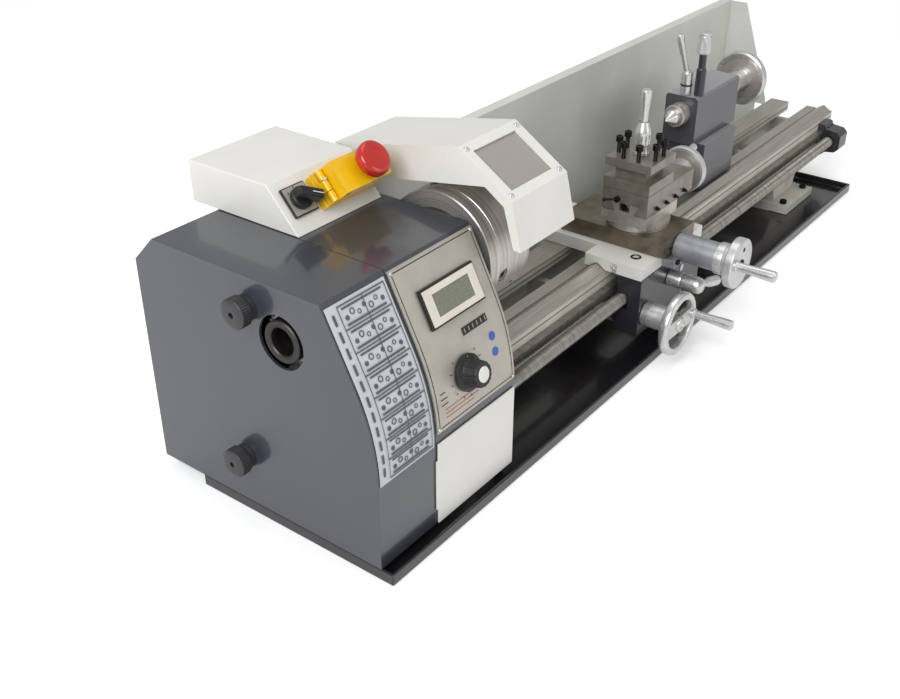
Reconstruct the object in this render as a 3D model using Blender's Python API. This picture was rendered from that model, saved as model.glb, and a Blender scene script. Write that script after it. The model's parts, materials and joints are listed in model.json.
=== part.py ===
"""Bench metal lathe, 1.16 m long, as separate sub-parts in metres, +Z up.

X runs along the bed from the headstock to the tailstock, Y from the operator to the back,
and Z up. X = 0 is the middle of the chip tray, Y = 0 the plane of the spindle axis and Z = 0
the underside of the tray.
"""

import math

import bmesh
import bpy
from mathutils import Matrix, Vector

# General fits
GAP = 0.0003            # between pieces that touch
OVERCUT = 0.01  # how far a cutter reaches past the wall it opens
LAP = 0.001  # how far a shape reaches into the one it joins
INSET = 0.0005  # how far a joined shape's face stays inside its neighbour's
RUN = 0.0004            # radial running clearance of a shaft in its bore

# Overall
TRAY_LENGTH = 1.090
TRAY_FRONT_Y = -0.114
TRAY_BACK_Y = 0.125
TRAY_HEIGHT = 0.0122
TRAY_SHEET = 0.003
TRAY_RIM = 0.005
SPINDLE_Z = 0.206       # spindle axis above the bench
BED_TOP_Z = 0.100
BED_RIGHT_X = 0.596
BED_LEFT_X = -0.455

# Bed section
BED_HALF_WIDTH = 0.050
BED_WALL = 0.008
BED_BOTTOM_Z = 0.045
RAIL_THICKNESS = 0.013
FRONT_RAIL_INNER_Y = -0.010
REAR_RAIL_INNER_Y = 0.020
VEE_PEAK_Y = -0.036
VEE_HALF_WIDTH = 0.010
VEE_HEIGHT = 0.006
RAIL_CHAMFER = 0.0015
RIB_COUNT = 7
RIB_THICKNESS = 0.010
FOOT_LENGTH = 0.097
FOOT_HALF_WIDTH = 0.075
FOOT_FLANGE = 0.012
FOOT_ARCH = 0.055
LEFT_FOOT_X = -0.400
RIGHT_FOOT_X = 0.4435

# Headstock housing and end cover share one outline
CASE_LEFT_X = -TRAY_LENGTH / 2
SEAM_X = -0.467
CASE_RIGHT_X = -0.347
CASE_FRONT_Y = -0.101
CASE_BACK_Y = 0.1795
CASE_TOP_Z = 0.257
CASE_BACK_CHAMFER = 0.027
CASE_SHEET = 0.003
CASE_STRAIGHT_Z = 0.102     # top of the upright part of the front
CASE_LEAN = math.radians(27)
CASE_ARC_RADIUS = 0.198
CASE_ARC_STEPS = 6
SPINDLE_WINDOW_R = 0.0255

# Headstock casting and spindle
HEAD_LEFT_X = BED_LEFT_X
HEAD_RIGHT_X = -0.3525
HEAD_HALF_WIDTH = 0.049
HEAD_TOP_Z = 0.246
SPINDLE_R = 0.020
SPINDLE_BORE_R = 0.013
SPINDLE_LEFT_X = -0.5445
FLANGE_R = 0.046
FLANGE_LEFT_X = -0.3425
FLANGE_THICKNESS = 0.010

# Chuck
CHUCK_R = 0.0625
CHUCK_LENGTH = 0.066
CHUCK_BORE_R = 0.016
CHUCK_RECESS_R = 0.047
SCROLL_R = 0.0455
SCROLL_BORE_R = 0.024
JAW_WIDTH = 0.014
JAW_SLOT_WIDTH = JAW_WIDTH + 2 * GAP
JAW_SLOT_DEPTH = 0.022
JAW_IN_R = 0.019
JAW_OUT_R = 0.056
JAW_STEP = 0.009
JAW_PROUD = 0.024
PINION_R = 0.0065
PINION_IN_R = 0.0475
PINION_SQUARE = 0.0065

# Gear train and belt drive
MODULE = 0.0015
SPINDLE_TEETH = 32
STUD_TEETH = 48
STUD_PINION_TEETH = 20
IDLER_TEETH = 36
LEADSCREW_TEETH = 32
GEAR_WIDTH = 0.009
GEAR_PLANE_A = -0.5335      # left face of the first gear pair
GEAR_PLANE_B = -0.5235
STUD_R = 0.006
PULLEY_LEFT_X = -0.5010
PULLEY_WIDTH = 0.018
SPINDLE_PULLEY_R = 0.042
MOTOR_PULLEY_R = 0.018
BELT_THICKNESS = 0.003
MOTOR_Y = 0.112
MOTOR_Z = 0.104
MOTOR_R = 0.046
MOTOR_SHAFT_R = 0.007
MOTOR_RIGHT_X = -0.3525
PLATE_LEFT_X = -0.4615
PLATE_THICKNESS = 0.006

# Leadscrew
SCREW_Y = -0.069
SCREW_Z = 0.070
SCREW_R = 0.008
SCREW_LEFT_X = -0.5275
SCREW_RIGHT_X = 0.5785
BRACKET_X = 0.545
BRACKET_LENGTH = 0.030

# Rack, whose teeth point down, and the handwheel's pinion under it
RACK_TOP_Z = 0.0837
RACK_BOTTOM_Z = 0.0754
RACK_DEPTH = 0.0085
RACK_LEFT_X = -0.330
RACK_RIGHT_X = BRACKET_X - GAP
PINION_TEETH = 26
PINION_SIDE_GAP = 0.0005

# Splash guard
SPLASH_Y = 0.112
SPLASH_SHEET = 0.002
SPLASH_TOP_Z = 0.255
SPLASH_LIP = 0.011
SPLASH_RIGHT_X = TRAY_LENGTH / 2 - TRAY_RIM - GAP
WING_TOP_Y = 0.087
WING_LOW_Y = 0.037
WING_LOW_Z = 0.116

# Carriage; the pinion's pitch circle touches the rack's pitch line
CARRIAGE_X = -0.011         # middle of the saddle, cross slide and cross feed screw
SADDLE_TOP_Z = 0.115
SADDLE_FRONT_Y = -0.093
SADDLE_BACK_Y = 0.0585
SADDLE_FRONT_HALF = 0.074
SADDLE_BACK_HALF = 0.047
SADDLE_WAIST_Y = -0.020     # back edge of the wings over the front way
SADDLE_HOLE_X = 0.050       # oil holes, to each side of the middle
SADDLE_HOLE_Y = -0.072
SADDLE_HOLE_R = 0.004
SADDLE_HOLE_DEPTH = 0.006
APRON_BACK_Y = -0.0640
APRON_BOTTOM_Z = 0.030
WHEEL_X = -0.069
WHEEL_Z = RACK_BOTTOM_Z - 0.0019 - MODULE * PINION_TEETH / 2
SHAFT_R = 0.006
WHEEL_R = 0.037
WHEEL_RIM = 0.0085
WHEEL_WIDTH = 0.011
HANDLE_R = 0.0060
HANDLE_LENGTH = 0.047
HALF_NUT_X = -0.015
HALF_NUT_Z = 0.078

# Cross slide
CROSS_HALF_WIDTH = 0.0375
CROSS_FRONT_Y = -0.0985
CROSS_BACK_Y = 0.0365
CROSS_BOTTOM_Z = SADDLE_TOP_Z + 0.0006
CROSS_TOP_Z = 0.135
CROSS_TAIL_HALF = 0.022
CROSS_TAIL_HEIGHT = 0.008
FEED_Z = 0.1180
FEED_R = 0.0045
FEED_BRACKET_R = 0.0165
FEED_BRACKET_LENGTH = 0.0505
DIAL_R = 0.0185
DIAL_LENGTH = 0.0155
CRANK_HALF_LENGTH = 0.029
CRANK_END_R = 0.0275
CRANK_THICKNESS = 0.011
CRANK_LEAN = math.radians(-14)
CRANK_HANDLE_THROW = 0.016
CRANK_HANDLE_ANGLE = math.radians(165)

# Compound slide
COMPOUND_Y = -0.045
COMPOUND_HALF_WIDTH = 0.029
COMPOUND_BASE_LENGTH = 0.074
SWIVEL_R = 0.0365
SWIVEL_HEIGHT = 0.0075
BASE_TOP_Z = 0.157
BASE_TAIL_HEIGHT = 0.011
TOP_SLIDE_TOP_Z = 0.183
TOP_SLIDE_LEFT_X = -0.048
TOP_SLIDE_RIGHT_X = 0.062
TOP_SCREW_Z = 0.1640
TOP_SCREW_R = 0.0035
TOP_WHEEL_R = 0.0285
TOP_WHEEL_X = 0.092

# Tool post
POST_HALF = 0.029
POST_X = -0.019
POST_FLOOR_Z = 0.196
POST_SLOT = 0.013
POST_TOP_Z = 0.219
POST_NECK_HALF = 0.0195
POST_STUD_R = 0.007
LEVER_TOP_Z = 0.2935
LEVER_FOOT_R = 0.0092
LEVER_WAIST_R = 0.0084
LEVER_HUB_R = 0.0094
LEVER_NECK_R = 0.0054
LEVER_HUB_HEIGHT = 0.037
LEVER_GRIP_R = 0.0042
LEVER_END_R = 0.0062

# Tailstock
TAIL_LEFT_X = 0.166
TAIL_LENGTH = 0.120
TAIL_BASE_LEFT_X = 0.180
TAIL_BASE_RIGHT_X = 0.272
TAIL_BASE_HALF = 0.032
TAIL_BASE_TOP_Z = 0.166
TAIL_TONGUE_INSET = 0.020   # of the tongue between the ways, from each end of the body
TAIL_BARREL_HALF = 0.022
TAIL_BARREL_CHAMFER = 0.003
TAIL_STUD_R = 0.0040        # of both levers, in the barrel
QUILL_LOCK_XY = (0.1745, 0.0)
QUILL_LOCK_HUB = (0.0070, 0.030)    # radius and height
QUILL_LOCK_TIP = (-0.010, 0.011, 0.304)
QUILL_LOCK_GRIP = (0.0034, 0.0052)
TAIL_CLAMP_XY = (0.1800, -0.0155)
TAIL_CLAMP_HUB = (0.0062, 0.034)
TAIL_CLAMP_TIP = (0.0, 0.0, 0.306)
TAIL_CLAMP_NECK_R = 0.0046
TAIL_CLAMP_HEAD_R = 0.0085
TAIL_CLAMP_HEAD_LENGTH = 0.027
QUILL_R = 0.0140
QUILL_LEFT_X = 0.148
QUILL_LENGTH = 0.110
QUILL_BORE_R = 0.0075
CENTRE_TIP_X = 0.126
TAIL_WHEEL_X = 0.337
TAIL_WHEEL_R = 0.0365
TAIL_SCREW_R = 0.0055

# Controls
PANEL_SHEET = 0.0015
PANEL_BOTTOM_Z = 0.112
PANEL_INSET = 0.0012
PLATE_BOTTOM_Z = 0.0135
SPEED_KNOB_X = -0.417
SPEED_KNOB_Z = 0.151
SPEED_KNOB_R = 0.0175
DISPLAY_X = -0.4057
DISPLAY_Z = 0.2117
DISPLAY_WIDTH = 0.076
DISPLAY_HEIGHT = 0.037
BOX_LEFT_X = SEAM_X + 0.0006
BOX_RIGHT_X = -0.3535
BOX_BACK_Y = 0.186
BOX_TOP_Z = 0.298
BOX_FRONT_Y = 0.050
BOX_SLOPE_TOP_Y = 0.086
BOX_SHEET = 0.002

# Chuck guard
GUARD_LEFT_X = -0.3405
GUARD_RIGHT_X = -0.2500
GUARD_SHEET = 0.002
GUARD_PIVOT_Y = 0.106
GUARD_PIVOT_Z = 0.2745
GUARD_PIN_R = 0.004

AXIS = {"X": Vector((1, 0, 0)), "Y": Vector((0, 1, 0)), "Z": Vector((0, 0, 1))}


def clear_scene():
    """Remove what the file opens with."""
    for item in list(bpy.data.objects):
        bpy.data.objects.remove(item, do_unlink=True)


def material(name, colour, roughness, metallic=0.0):
    """A plain Principled material, made once for each name."""
    found = bpy.data.materials.get(name)
    if found:
        return found
    made = bpy.data.materials.new(name)
    made.use_nodes = True
    shader = made.node_tree.nodes["Principled BSDF"]
    shader.inputs["Base Color"].default_value = (*colour, 1.0)
    shader.inputs["Roughness"].default_value = roughness
    shader.inputs["Metallic"].default_value = metallic
    return made


SLATE = material("slate_gloss_enamel", (0.085, 0.090, 0.105), 0.25)
TRAY_BLACK = material("black_gloss_enamel", (0.012, 0.010, 0.013), 0.25)
IVORY = material("ivory_enamel", (0.66, 0.63, 0.56), 0.40)
CASTING = material("grey_painted_iron", (0.40, 0.39, 0.36), 0.45)
GROUND = material("ground_steel", (0.45, 0.44, 0.42), 0.30, 1.0)
DARK_STEEL = material("oiled_steel", (0.13, 0.12, 0.11), 0.35, 1.0)
CHROME = material("chrome", (0.75, 0.75, 0.74), 0.10, 1.0)
SATIN = material("satin_aluminium", (0.50, 0.47, 0.43), 0.35, 1.0)
BLACK_PLASTIC = material("black_plastic", (0.012, 0.012, 0.013), 0.45)
YELLOW = material("yellow_plastic", (0.90, 0.46, 0.01), 0.35)
RED = material("red_plastic", (0.60, 0.02, 0.015), 0.35)
RUBBER = material("belt_rubber", (0.02, 0.02, 0.02), 0.80)
CLEAR = material("smoked_acrylic", (0.40, 0.40, 0.38), 0.05)
VIOLET_BLACK = material("dark_enamel", (0.03, 0.03, 0.04), 0.35)


# ---- mesh helpers -----------------------------------------------------------------------

def placed(name, mesh, origin, look):
    """Turn a bmesh in world places into an object whose origin is at `origin`."""
    bmesh.ops.recalc_face_normals(mesh, faces=mesh.faces)
    bmesh.ops.translate(mesh, verts=mesh.verts, vec=-Vector(origin))
    data = bpy.data.meshes.new(name)
    mesh.to_mesh(data)
    mesh.free()
    made = bpy.data.objects.new(name, data)
    made.location = origin
    bpy.context.scene.collection.objects.link(made)
    if look:
        data.materials.append(look)
        data.shade_smooth()
        data.set_sharp_from_angle(angle=math.radians(30))
    return made


def piece(name, mesh, look, origin=(0, 0, 0)):
    """A sub-part."""
    return placed(name, mesh, origin, look)


def shape_with(target, mesh, operation):
    """Unite the target with a mesh, or cut it, by a Boolean that stays on the target."""
    name = f"guide_{target.name}_{len(target.modifiers)}"
    guide = placed(name, mesh, (0, 0, 0), None)
    guide.hide_render = True
    guide.display_type = "WIRE"
    step = target.modifiers.new(name, "BOOLEAN")
    step.operation = operation
    step.object = guide
    return target


def cut(target, mesh):
    return shape_with(target, mesh, "DIFFERENCE")


def unite(target, mesh):
    return shape_with(target, mesh, "UNION")


def block(low, high, into=None):
    """An axis-aligned box between two corners."""
    mesh = into or bmesh.new()
    middle = [(a + b) / 2 for a, b in zip(low, high)]
    size = [abs(b - a) for a, b in zip(low, high)]
    place = Matrix.Translation(middle) @ Matrix.Diagonal((*size, 1))
    bmesh.ops.create_cube(mesh, size=1.0, matrix=place)
    return mesh


def turned(direction):
    """The rotation that takes +Z onto a direction."""
    return Vector((0, 0, 1)).rotation_difference(Vector(direction).normalized()).to_matrix().to_4x4()


def rod(start, end, radius, end_radius=None, sides=24, into=None):
    """A round bar, or a cone, between two points."""
    mesh = into or bmesh.new()
    start, end = Vector(start), Vector(end)
    tip = radius if end_radius is None else end_radius
    place = Matrix.Translation((start + end) / 2) @ turned(end - start)
    bmesh.ops.create_cone(mesh, cap_ends=True, segments=sides, radius1=radius, radius2=tip,
                          depth=(end - start).length, matrix=place)
    return mesh


def prism(outline, axis, low, high):
    """Extrude a flat outline along an axis.

    Outline points are (y, z) for an X prism, (x, z) for Y and (x, y) for Z.
    """
    spots = {
        "X": lambda a, b: (low, a, b),
        "Y": lambda a, b: (a, low, b),
        "Z": lambda a, b: (a, b, low),
    }[axis]
    mesh = bmesh.new()
    face = mesh.faces.new([mesh.verts.new(spots(a, b)) for a, b in outline])
    grown = bmesh.ops.extrude_face_region(mesh, geom=[face])
    verts = [item for item in grown["geom"] if isinstance(item, bmesh.types.BMVert)]
    bmesh.ops.translate(mesh, verts=verts, vec=AXIS[axis] * (high - low))
    return mesh


def revolve(profile, origin, direction, sides=32):
    """Turn a closed (radius, distance along the axis) profile about an axis."""
    mesh = bmesh.new()
    verts = [mesh.verts.new((radius, 0, along)) for radius, along in profile]
    edges = [mesh.edges.new((a, b)) for a, b in zip(verts, verts[1:] + verts[:1])]
    bmesh.ops.spin(mesh, geom=verts + edges, cent=(0, 0, 0), axis=(0, 0, 1),
                   angle=math.tau, steps=sides, use_merge=True)
    bmesh.ops.remove_doubles(mesh, verts=mesh.verts, dist=1e-6)
    bmesh.ops.transform(mesh, matrix=Matrix.Translation(origin) @ turned(direction),
                        verts=mesh.verts)
    return mesh


def washer(inner, outer, low, high):
    """The profile of a plain ring."""
    return [(inner, low), (outer, low), (outer, high), (inner, high)]


def gear(teeth, module, bore, low, high, turn=0.0):
    """A spur gear about +X with straight-flanked teeth, as (outline mesh, pitch radius)."""
    pitch = teeth * module / 2
    quarter = math.tau / teeth / 4
    half_tip, half_root = 0.52 * quarter, 1.40 * quarter
    outline = []
    for tooth in range(teeth):
        middle = turn + tooth * math.tau / teeth
        for radius, offset in ((pitch - 1.2 * module, -half_root), (pitch + 0.9 * module, -half_tip),
                               (pitch + 0.9 * module, half_tip), (pitch - 1.2 * module, half_root)):
            outline.append((radius * math.cos(middle + offset), radius * math.sin(middle + offset)))
    mesh = bmesh.new()
    outer = [mesh.verts.new((low, y, z)) for y, z in outline]
    hole = [mesh.verts.new((low, bore * math.cos(math.tau * i / 16),
                            bore * math.sin(math.tau * i / 16)))
            for i in range(16)]
    edges = [mesh.edges.new((a, b)) for ring in (outer, hole) for a,
             b in zip(ring, ring[1:] + ring[:1])]
    bmesh.ops.triangle_fill(mesh, use_beauty=True, edges=edges)
    grown = bmesh.ops.extrude_face_region(mesh, geom=mesh.faces[:])
    verts = [item for item in grown["geom"] if isinstance(item, bmesh.types.BMVert)]
    bmesh.ops.translate(mesh, verts=verts, vec=(high - low, 0, 0))
    return mesh


def moved(mesh, x=0.0, y=0.0, z=0.0):
    bmesh.ops.translate(mesh, verts=mesh.verts, vec=(x, y, z))
    return mesh


# ---- outlines ---------------------------------------------------------------------------

def front_outline(offset, low, high):
    """The front of the case from height low to high, pushed outwards by offset, as (y, z) points.

    It is upright, then bends back on an arc, then leans straight back.
    """
    centre = (CASE_FRONT_Y + CASE_ARC_RADIUS, CASE_STRAIGHT_Z)
    radius = CASE_ARC_RADIUS + offset
    points = []
    if low < CASE_STRAIGHT_Z:
        points.append((CASE_FRONT_Y - offset, low))
    for step in range(CASE_ARC_STEPS + 1):
        angle = CASE_LEAN * step / CASE_ARC_STEPS
        height = centre[1] + radius * math.sin(angle)
        if low < height < high and (low < CASE_STRAIGHT_Z or height > low + 0.002):
            points.append((centre[0] - radius * math.cos(angle), height))
    if low >= CASE_STRAIGHT_Z:
        angle = math.asin((low - centre[1]) / radius)
        points.insert(0, (centre[0] - radius * math.cos(angle), low))
    bend = (centre[0] - radius * math.cos(CASE_LEAN), centre[1] + radius * math.sin(CASE_LEAN))
    points.append((bend[0] + (high - bend[1]) * math.tan(CASE_LEAN), high))
    return points


def case_outline(inset, bottom):
    """The closed (y, z) outline of the case, moved in by a wall."""
    top = CASE_TOP_Z - inset
    back = CASE_BACK_Y - inset
    chamfer = CASE_BACK_CHAMFER - inset * 0.4
    return front_outline(-inset, bottom, top) + [(back - chamfer, top), (back, top - chamfer),
                                                 (back, bottom)]


def vee_notch(clearance):
    """The (y, z) outline that clears the raised vee of the front rail."""
    half = VEE_HALF_WIDTH + clearance
    low = BED_TOP_Z - 0.004
    return [(VEE_PEAK_Y - half - LAP, low), (VEE_PEAK_Y + half + LAP, low),
            (VEE_PEAK_Y + half, BED_TOP_Z + GAP),
            (VEE_PEAK_Y + 0.0015, BED_TOP_Z + VEE_HEIGHT + clearance),
            (VEE_PEAK_Y - 0.0015, BED_TOP_Z + VEE_HEIGHT + clearance),
            (VEE_PEAK_Y - half, BED_TOP_Z + GAP)]


def dovetail(middle, half, low, height, clearance=0.0):
    """A dovetail that widens upwards, as an outline in (across, z)."""
    flare = height * math.tan(math.radians(30))
    a, b = half - flare + clearance, half + clearance
    return [(middle - a, low), (middle + a, low), (middle + b, low + height),
            (middle - b, low + height)]


# ---- bed, tray and splash guard ---------------------------------------------------------

def make_tray():
    half = TRAY_LENGTH / 2
    mesh = block((-half, TRAY_FRONT_Y, 0), (half, TRAY_BACK_Y, TRAY_HEIGHT))
    top = max(mesh.faces, key=lambda face: face.calc_center_median().z)
    bmesh.ops.inset_region(mesh, faces=[top], thickness=TRAY_RIM)
    grown = bmesh.ops.extrude_face_region(mesh, geom=[top])
    verts = [item for item in grown["geom"] if isinstance(item, bmesh.types.BMVert)]
    bmesh.ops.delete(mesh, geom=[top], context="FACES_ONLY")
    bmesh.ops.translate(mesh, verts=verts, vec=(0, 0, TRAY_SHEET - TRAY_HEIGHT))
    return piece("chip_tray", mesh, TRAY_BLACK)


def bed_side_outlines():
    top, under, low = BED_TOP_Z, BED_TOP_Z - RAIL_THICKNESS, BED_BOTTOM_Z
    half, wall, edge = BED_HALF_WIDTH, BED_WALL, RAIL_CHAMFER
    front = [(-half, low), (-half + wall, low), (-half + wall, under), (FRONT_RAIL_INNER_Y, under),
             (FRONT_RAIL_INNER_Y, top), (VEE_PEAK_Y + VEE_HALF_WIDTH + 0.0015, top),
             (VEE_PEAK_Y + VEE_HALF_WIDTH + 0.0015, top - 0.002),
             (VEE_PEAK_Y + VEE_HALF_WIDTH, top - 0.002),
             (VEE_PEAK_Y + VEE_HALF_WIDTH, top), (VEE_PEAK_Y + LAP, top + VEE_HEIGHT),
             (VEE_PEAK_Y - LAP, top + VEE_HEIGHT), (VEE_PEAK_Y - VEE_HALF_WIDTH, top),
             (-half + edge, top), (-half, top - edge)]
    rear = [(half, low), (half, top - edge), (half - edge, top), (REAR_RAIL_INNER_Y, top),
            (REAR_RAIL_INNER_Y, under), (half - wall, under), (half - wall, low)]
    return front, rear


def foot_outline(middle):
    """One foot seen from the front: a flange and a body that flares in an arch to the bed."""
    low = TRAY_SHEET + GAP
    top = BED_BOTTOM_Z + 0.004
    half = FOOT_LENGTH / 2
    points = [(middle - half, low), (middle + half, low), (middle + half, low + FOOT_FLANGE)]
    waist, height = half - 0.014, top - low - FOOT_FLANGE
    for step in range(5):
        angle = math.radians(90) * step / 4
        points.append((middle + waist + FOOT_ARCH * (1 - math.cos(angle)) * 0.6,
                       low + FOOT_FLANGE + height * math.sin(angle)))
    for step in range(4, -1, -1):
        angle = math.radians(90) * step / 4
        points.append((middle - waist - FOOT_ARCH * (1 - math.cos(angle)) * 0.6,
                       low + FOOT_FLANGE + height * math.sin(angle)))
    points.append((middle - half, low + FOOT_FLANGE))
    return points


def make_bed():
    front, rear = bed_side_outlines()
    bed = piece("bed", prism(front, "X", BED_LEFT_X, BED_RIGHT_X), CASTING)
    unite(bed, prism([(y, z) for y, z in rear], "X", BED_LEFT_X, BED_RIGHT_X))
    ribs = bmesh.new()
    inside = BED_HALF_WIDTH - BED_WALL / 2
    for index in range(RIB_COUNT):
        x = BED_LEFT_X + (BED_RIGHT_X - BED_LEFT_X - RIB_THICKNESS) * index / (RIB_COUNT - 1)
        block((x, -inside, BED_BOTTOM_Z + LAP), (x + RIB_THICKNESS, inside, 0.074), ribs)
    unite(bed, ribs)
    for middle in (LEFT_FOOT_X, RIGHT_FOOT_X):
        unite(bed, prism(foot_outline(middle), "Y", -BED_HALF_WIDTH + 0.002, BED_HALF_WIDTH - 0.002))
        low = TRAY_SHEET + GAP
        unite(bed, block((middle - FOOT_LENGTH / 2 + LAP, -FOOT_HALF_WIDTH, low + INSET),
                         (middle + FOOT_LENGTH / 2 - LAP, FOOT_HALF_WIDTH, low + FOOT_FLANGE - INSET)))
    return bed


def make_rack():
    back = -BED_HALF_WIDTH - GAP
    return piece("rack", block((RACK_LEFT_X, back - RACK_DEPTH, RACK_BOTTOM_Z),
                               (RACK_RIGHT_X, back, RACK_TOP_Z)),
                 DARK_STEEL)


def make_splash_guard():
    low = TRAY_SHEET + GAP
    back = [(SPLASH_Y, low), (SPLASH_Y, SPLASH_TOP_Z), (SPLASH_Y + SPLASH_LIP, SPLASH_TOP_Z + 0.002),
            (SPLASH_Y + SPLASH_LIP, SPLASH_TOP_Z),
            (SPLASH_Y + SPLASH_SHEET, SPLASH_TOP_Z - SPLASH_SHEET),
            (SPLASH_Y + SPLASH_SHEET, low)]
    left = CASE_RIGHT_X + LAP
    guard = piece("splash_guard", prism(back, "X", left, SPLASH_RIGHT_X), IVORY)
    clear_y = BED_HALF_WIDTH + 0.003
    wing = [(SPLASH_Y + SPLASH_SHEET / 2, low + INSET),
            (SPLASH_Y + SPLASH_SHEET / 2, SPLASH_TOP_Z - INSET),
            (WING_TOP_Y, SPLASH_TOP_Z - INSET), (WING_LOW_Y, WING_LOW_Z),
            (WING_LOW_Y, BED_TOP_Z + 0.008),
            (clear_y, BED_TOP_Z + 0.008), (clear_y, TRAY_HEIGHT + 0.02),
            (clear_y + OVERCUT, low + INSET)]
    unite(guard, prism(wing, "X", SPLASH_RIGHT_X - SPLASH_SHEET, SPLASH_RIGHT_X - 0.0001))
    return guard


# ---- headstock --------------------------------------------------------------------------

def make_headstock():
    half = HEAD_HALF_WIDTH
    outline = [(-half, BED_TOP_Z + GAP), (half, BED_TOP_Z + GAP), (half, HEAD_TOP_Z - 0.02),
               (half - 0.02, HEAD_TOP_Z), (-half + 0.026, HEAD_TOP_Z), (-half, HEAD_TOP_Z - 0.036)]
    head = piece("headstock", prism(outline, "X", HEAD_LEFT_X, HEAD_RIGHT_X), CASTING)
    cut(head, prism(vee_notch(GAP * 2), "X", HEAD_LEFT_X - OVERCUT, HEAD_RIGHT_X + OVERCUT))
    cut(head, rod((HEAD_LEFT_X - OVERCUT, 0, SPINDLE_Z), (HEAD_RIGHT_X + OVERCUT, 0, SPINDLE_Z),
                  SPINDLE_R + RUN))
    return head


def make_spindle():
    left, right = SPINDLE_LEFT_X, FLANGE_LEFT_X + FLANGE_THICKNESS
    profile = [(SPINDLE_BORE_R, 0), (SPINDLE_R - LAP, 0), (SPINDLE_R, 0.001),
               (SPINDLE_R, FLANGE_LEFT_X - left),
               (FLANGE_R, FLANGE_LEFT_X - left), (FLANGE_R, right - left),
               (SPINDLE_BORE_R, right - left)]
    return piece("spindle", revolve(profile, (left, 0, SPINDLE_Z), (1, 0, 0)), GROUND,
                 (0, 0, SPINDLE_Z))


def pulley_rim(radius):
    """The flanged rim that a belt runs in, as (radius, distance) points."""
    edge = radius + 0.0015
    return [(edge, 0.0), (edge, 0.002), (radius, 0.003), (radius, PULLEY_WIDTH - 0.003),
            (edge, PULLEY_WIDTH - 0.002),
            (edge, PULLEY_WIDTH)]


def make_spindle_pulley():
    """The belt pulley with its hub and the first change gear's seat."""
    bore = SPINDLE_R + GAP
    hub = GEAR_PLANE_A + GEAR_WIDTH - INSET - PULLEY_LEFT_X
    profile = [(bore, hub), (bore + 0.0015, hub), (bore + 0.0015, 0)] + pulley_rim(SPINDLE_PULLEY_R)
    profile.append((bore, PULLEY_WIDTH))
    pulley = piece("spindle_pulley", revolve(profile, (PULLEY_LEFT_X, 0, SPINDLE_Z), (1, 0, 0), 24),
                   SATIN,
                   (0, 0, SPINDLE_Z))
    first = gear(SPINDLE_TEETH, MODULE, bore + 0.0002, GEAR_PLANE_A, GEAR_PLANE_A + GEAR_WIDTH)
    unite(pulley, moved(first, z=SPINDLE_Z))
    return pulley


def between(first, second, first_distance, second_distance):
    """The point at set distances from two others, on their lower right side, in (y, z)."""
    apart = math.dist(first, second)
    along = (first_distance ** 2 - second_distance ** 2 + apart ** 2) / (2 * apart)
    aside = math.sqrt(max(first_distance ** 2 - along ** 2, 0.0))
    unit = ((second[0] - first[0]) / apart, (second[1] - first[1]) / apart)
    return (first[0] + unit[0] * along - unit[1] * aside, first[1] + unit[1] * along + unit[0] * aside)


def train_places():
    """Axes of the stud gear and the idler, as (y, z)."""
    spindle, screw = (0.0, SPINDLE_Z), (SCREW_Y, SCREW_Z)
    to_stud = MODULE * (SPINDLE_TEETH + STUD_TEETH) / 2
    stud_to_idler = MODULE * (STUD_PINION_TEETH + IDLER_TEETH) / 2
    idler_to_screw = MODULE * (IDLER_TEETH + LEADSCREW_TEETH) / 2
    apart = math.dist(spindle, screw)
    reach = min(stud_to_idler + idler_to_screw - 0.0002, apart - to_stud + 0.0006)
    stud = between(spindle, screw, to_stud, reach)
    idler = between(stud, screw, stud_to_idler, idler_to_screw)
    return stud, idler


def mesh_turn(teeth_a, turn_a, place_a, teeth_b, place_b):
    """The turn of gear b that puts one of its gaps on a tooth of gear a, on the line of centres."""
    bearing = math.atan2(place_b[1] - place_a[1], place_b[0] - place_a[0])
    step_a, step_b = math.tau / teeth_a, math.tau / teeth_b
    offset = (bearing - turn_a) % step_a
    return bearing + math.pi + step_b / 2 + offset / step_a * step_b


def make_gear_train(leadscrew):
    stud, idler = train_places()
    spindle, screw = (0.0, SPINDLE_Z), (SCREW_Y, SCREW_Z)
    low_a, low_b = GEAR_PLANE_A, GEAR_PLANE_B
    stud_turn = mesh_turn(SPINDLE_TEETH, 0.0, spindle, STUD_TEETH, stud)
    large = gear(STUD_TEETH, MODULE, STUD_R + RUN, low_a, low_a + GEAR_WIDTH, stud_turn)
    stud_gear = piece("stud_gear", moved(large, y=stud[0], z=stud[1]), GROUND, (0, *stud))
    small = gear(STUD_PINION_TEETH, MODULE, STUD_R + RUN, low_a + GEAR_WIDTH - 0.0003,
                 low_b + GEAR_WIDTH, stud_turn)
    unite(stud_gear, moved(small, y=stud[0], z=stud[1]))
    idler_turn = mesh_turn(STUD_PINION_TEETH, stud_turn, stud, IDLER_TEETH, idler)
    middle = gear(IDLER_TEETH, MODULE, STUD_R + RUN, low_b, low_b + GEAR_WIDTH, idler_turn)
    piece("idler_gear", moved(middle, y=idler[0], z=idler[1]), GROUND, (0, *idler))
    screw_turn = mesh_turn(IDLER_TEETH, idler_turn, idler, LEADSCREW_TEETH, screw)
    last = gear(LEADSCREW_TEETH, MODULE, SCREW_R - LAP, low_b, low_b + GEAR_WIDTH, screw_turn)
    unite(leadscrew, moved(last, y=SCREW_Y, z=SCREW_Z))


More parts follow.
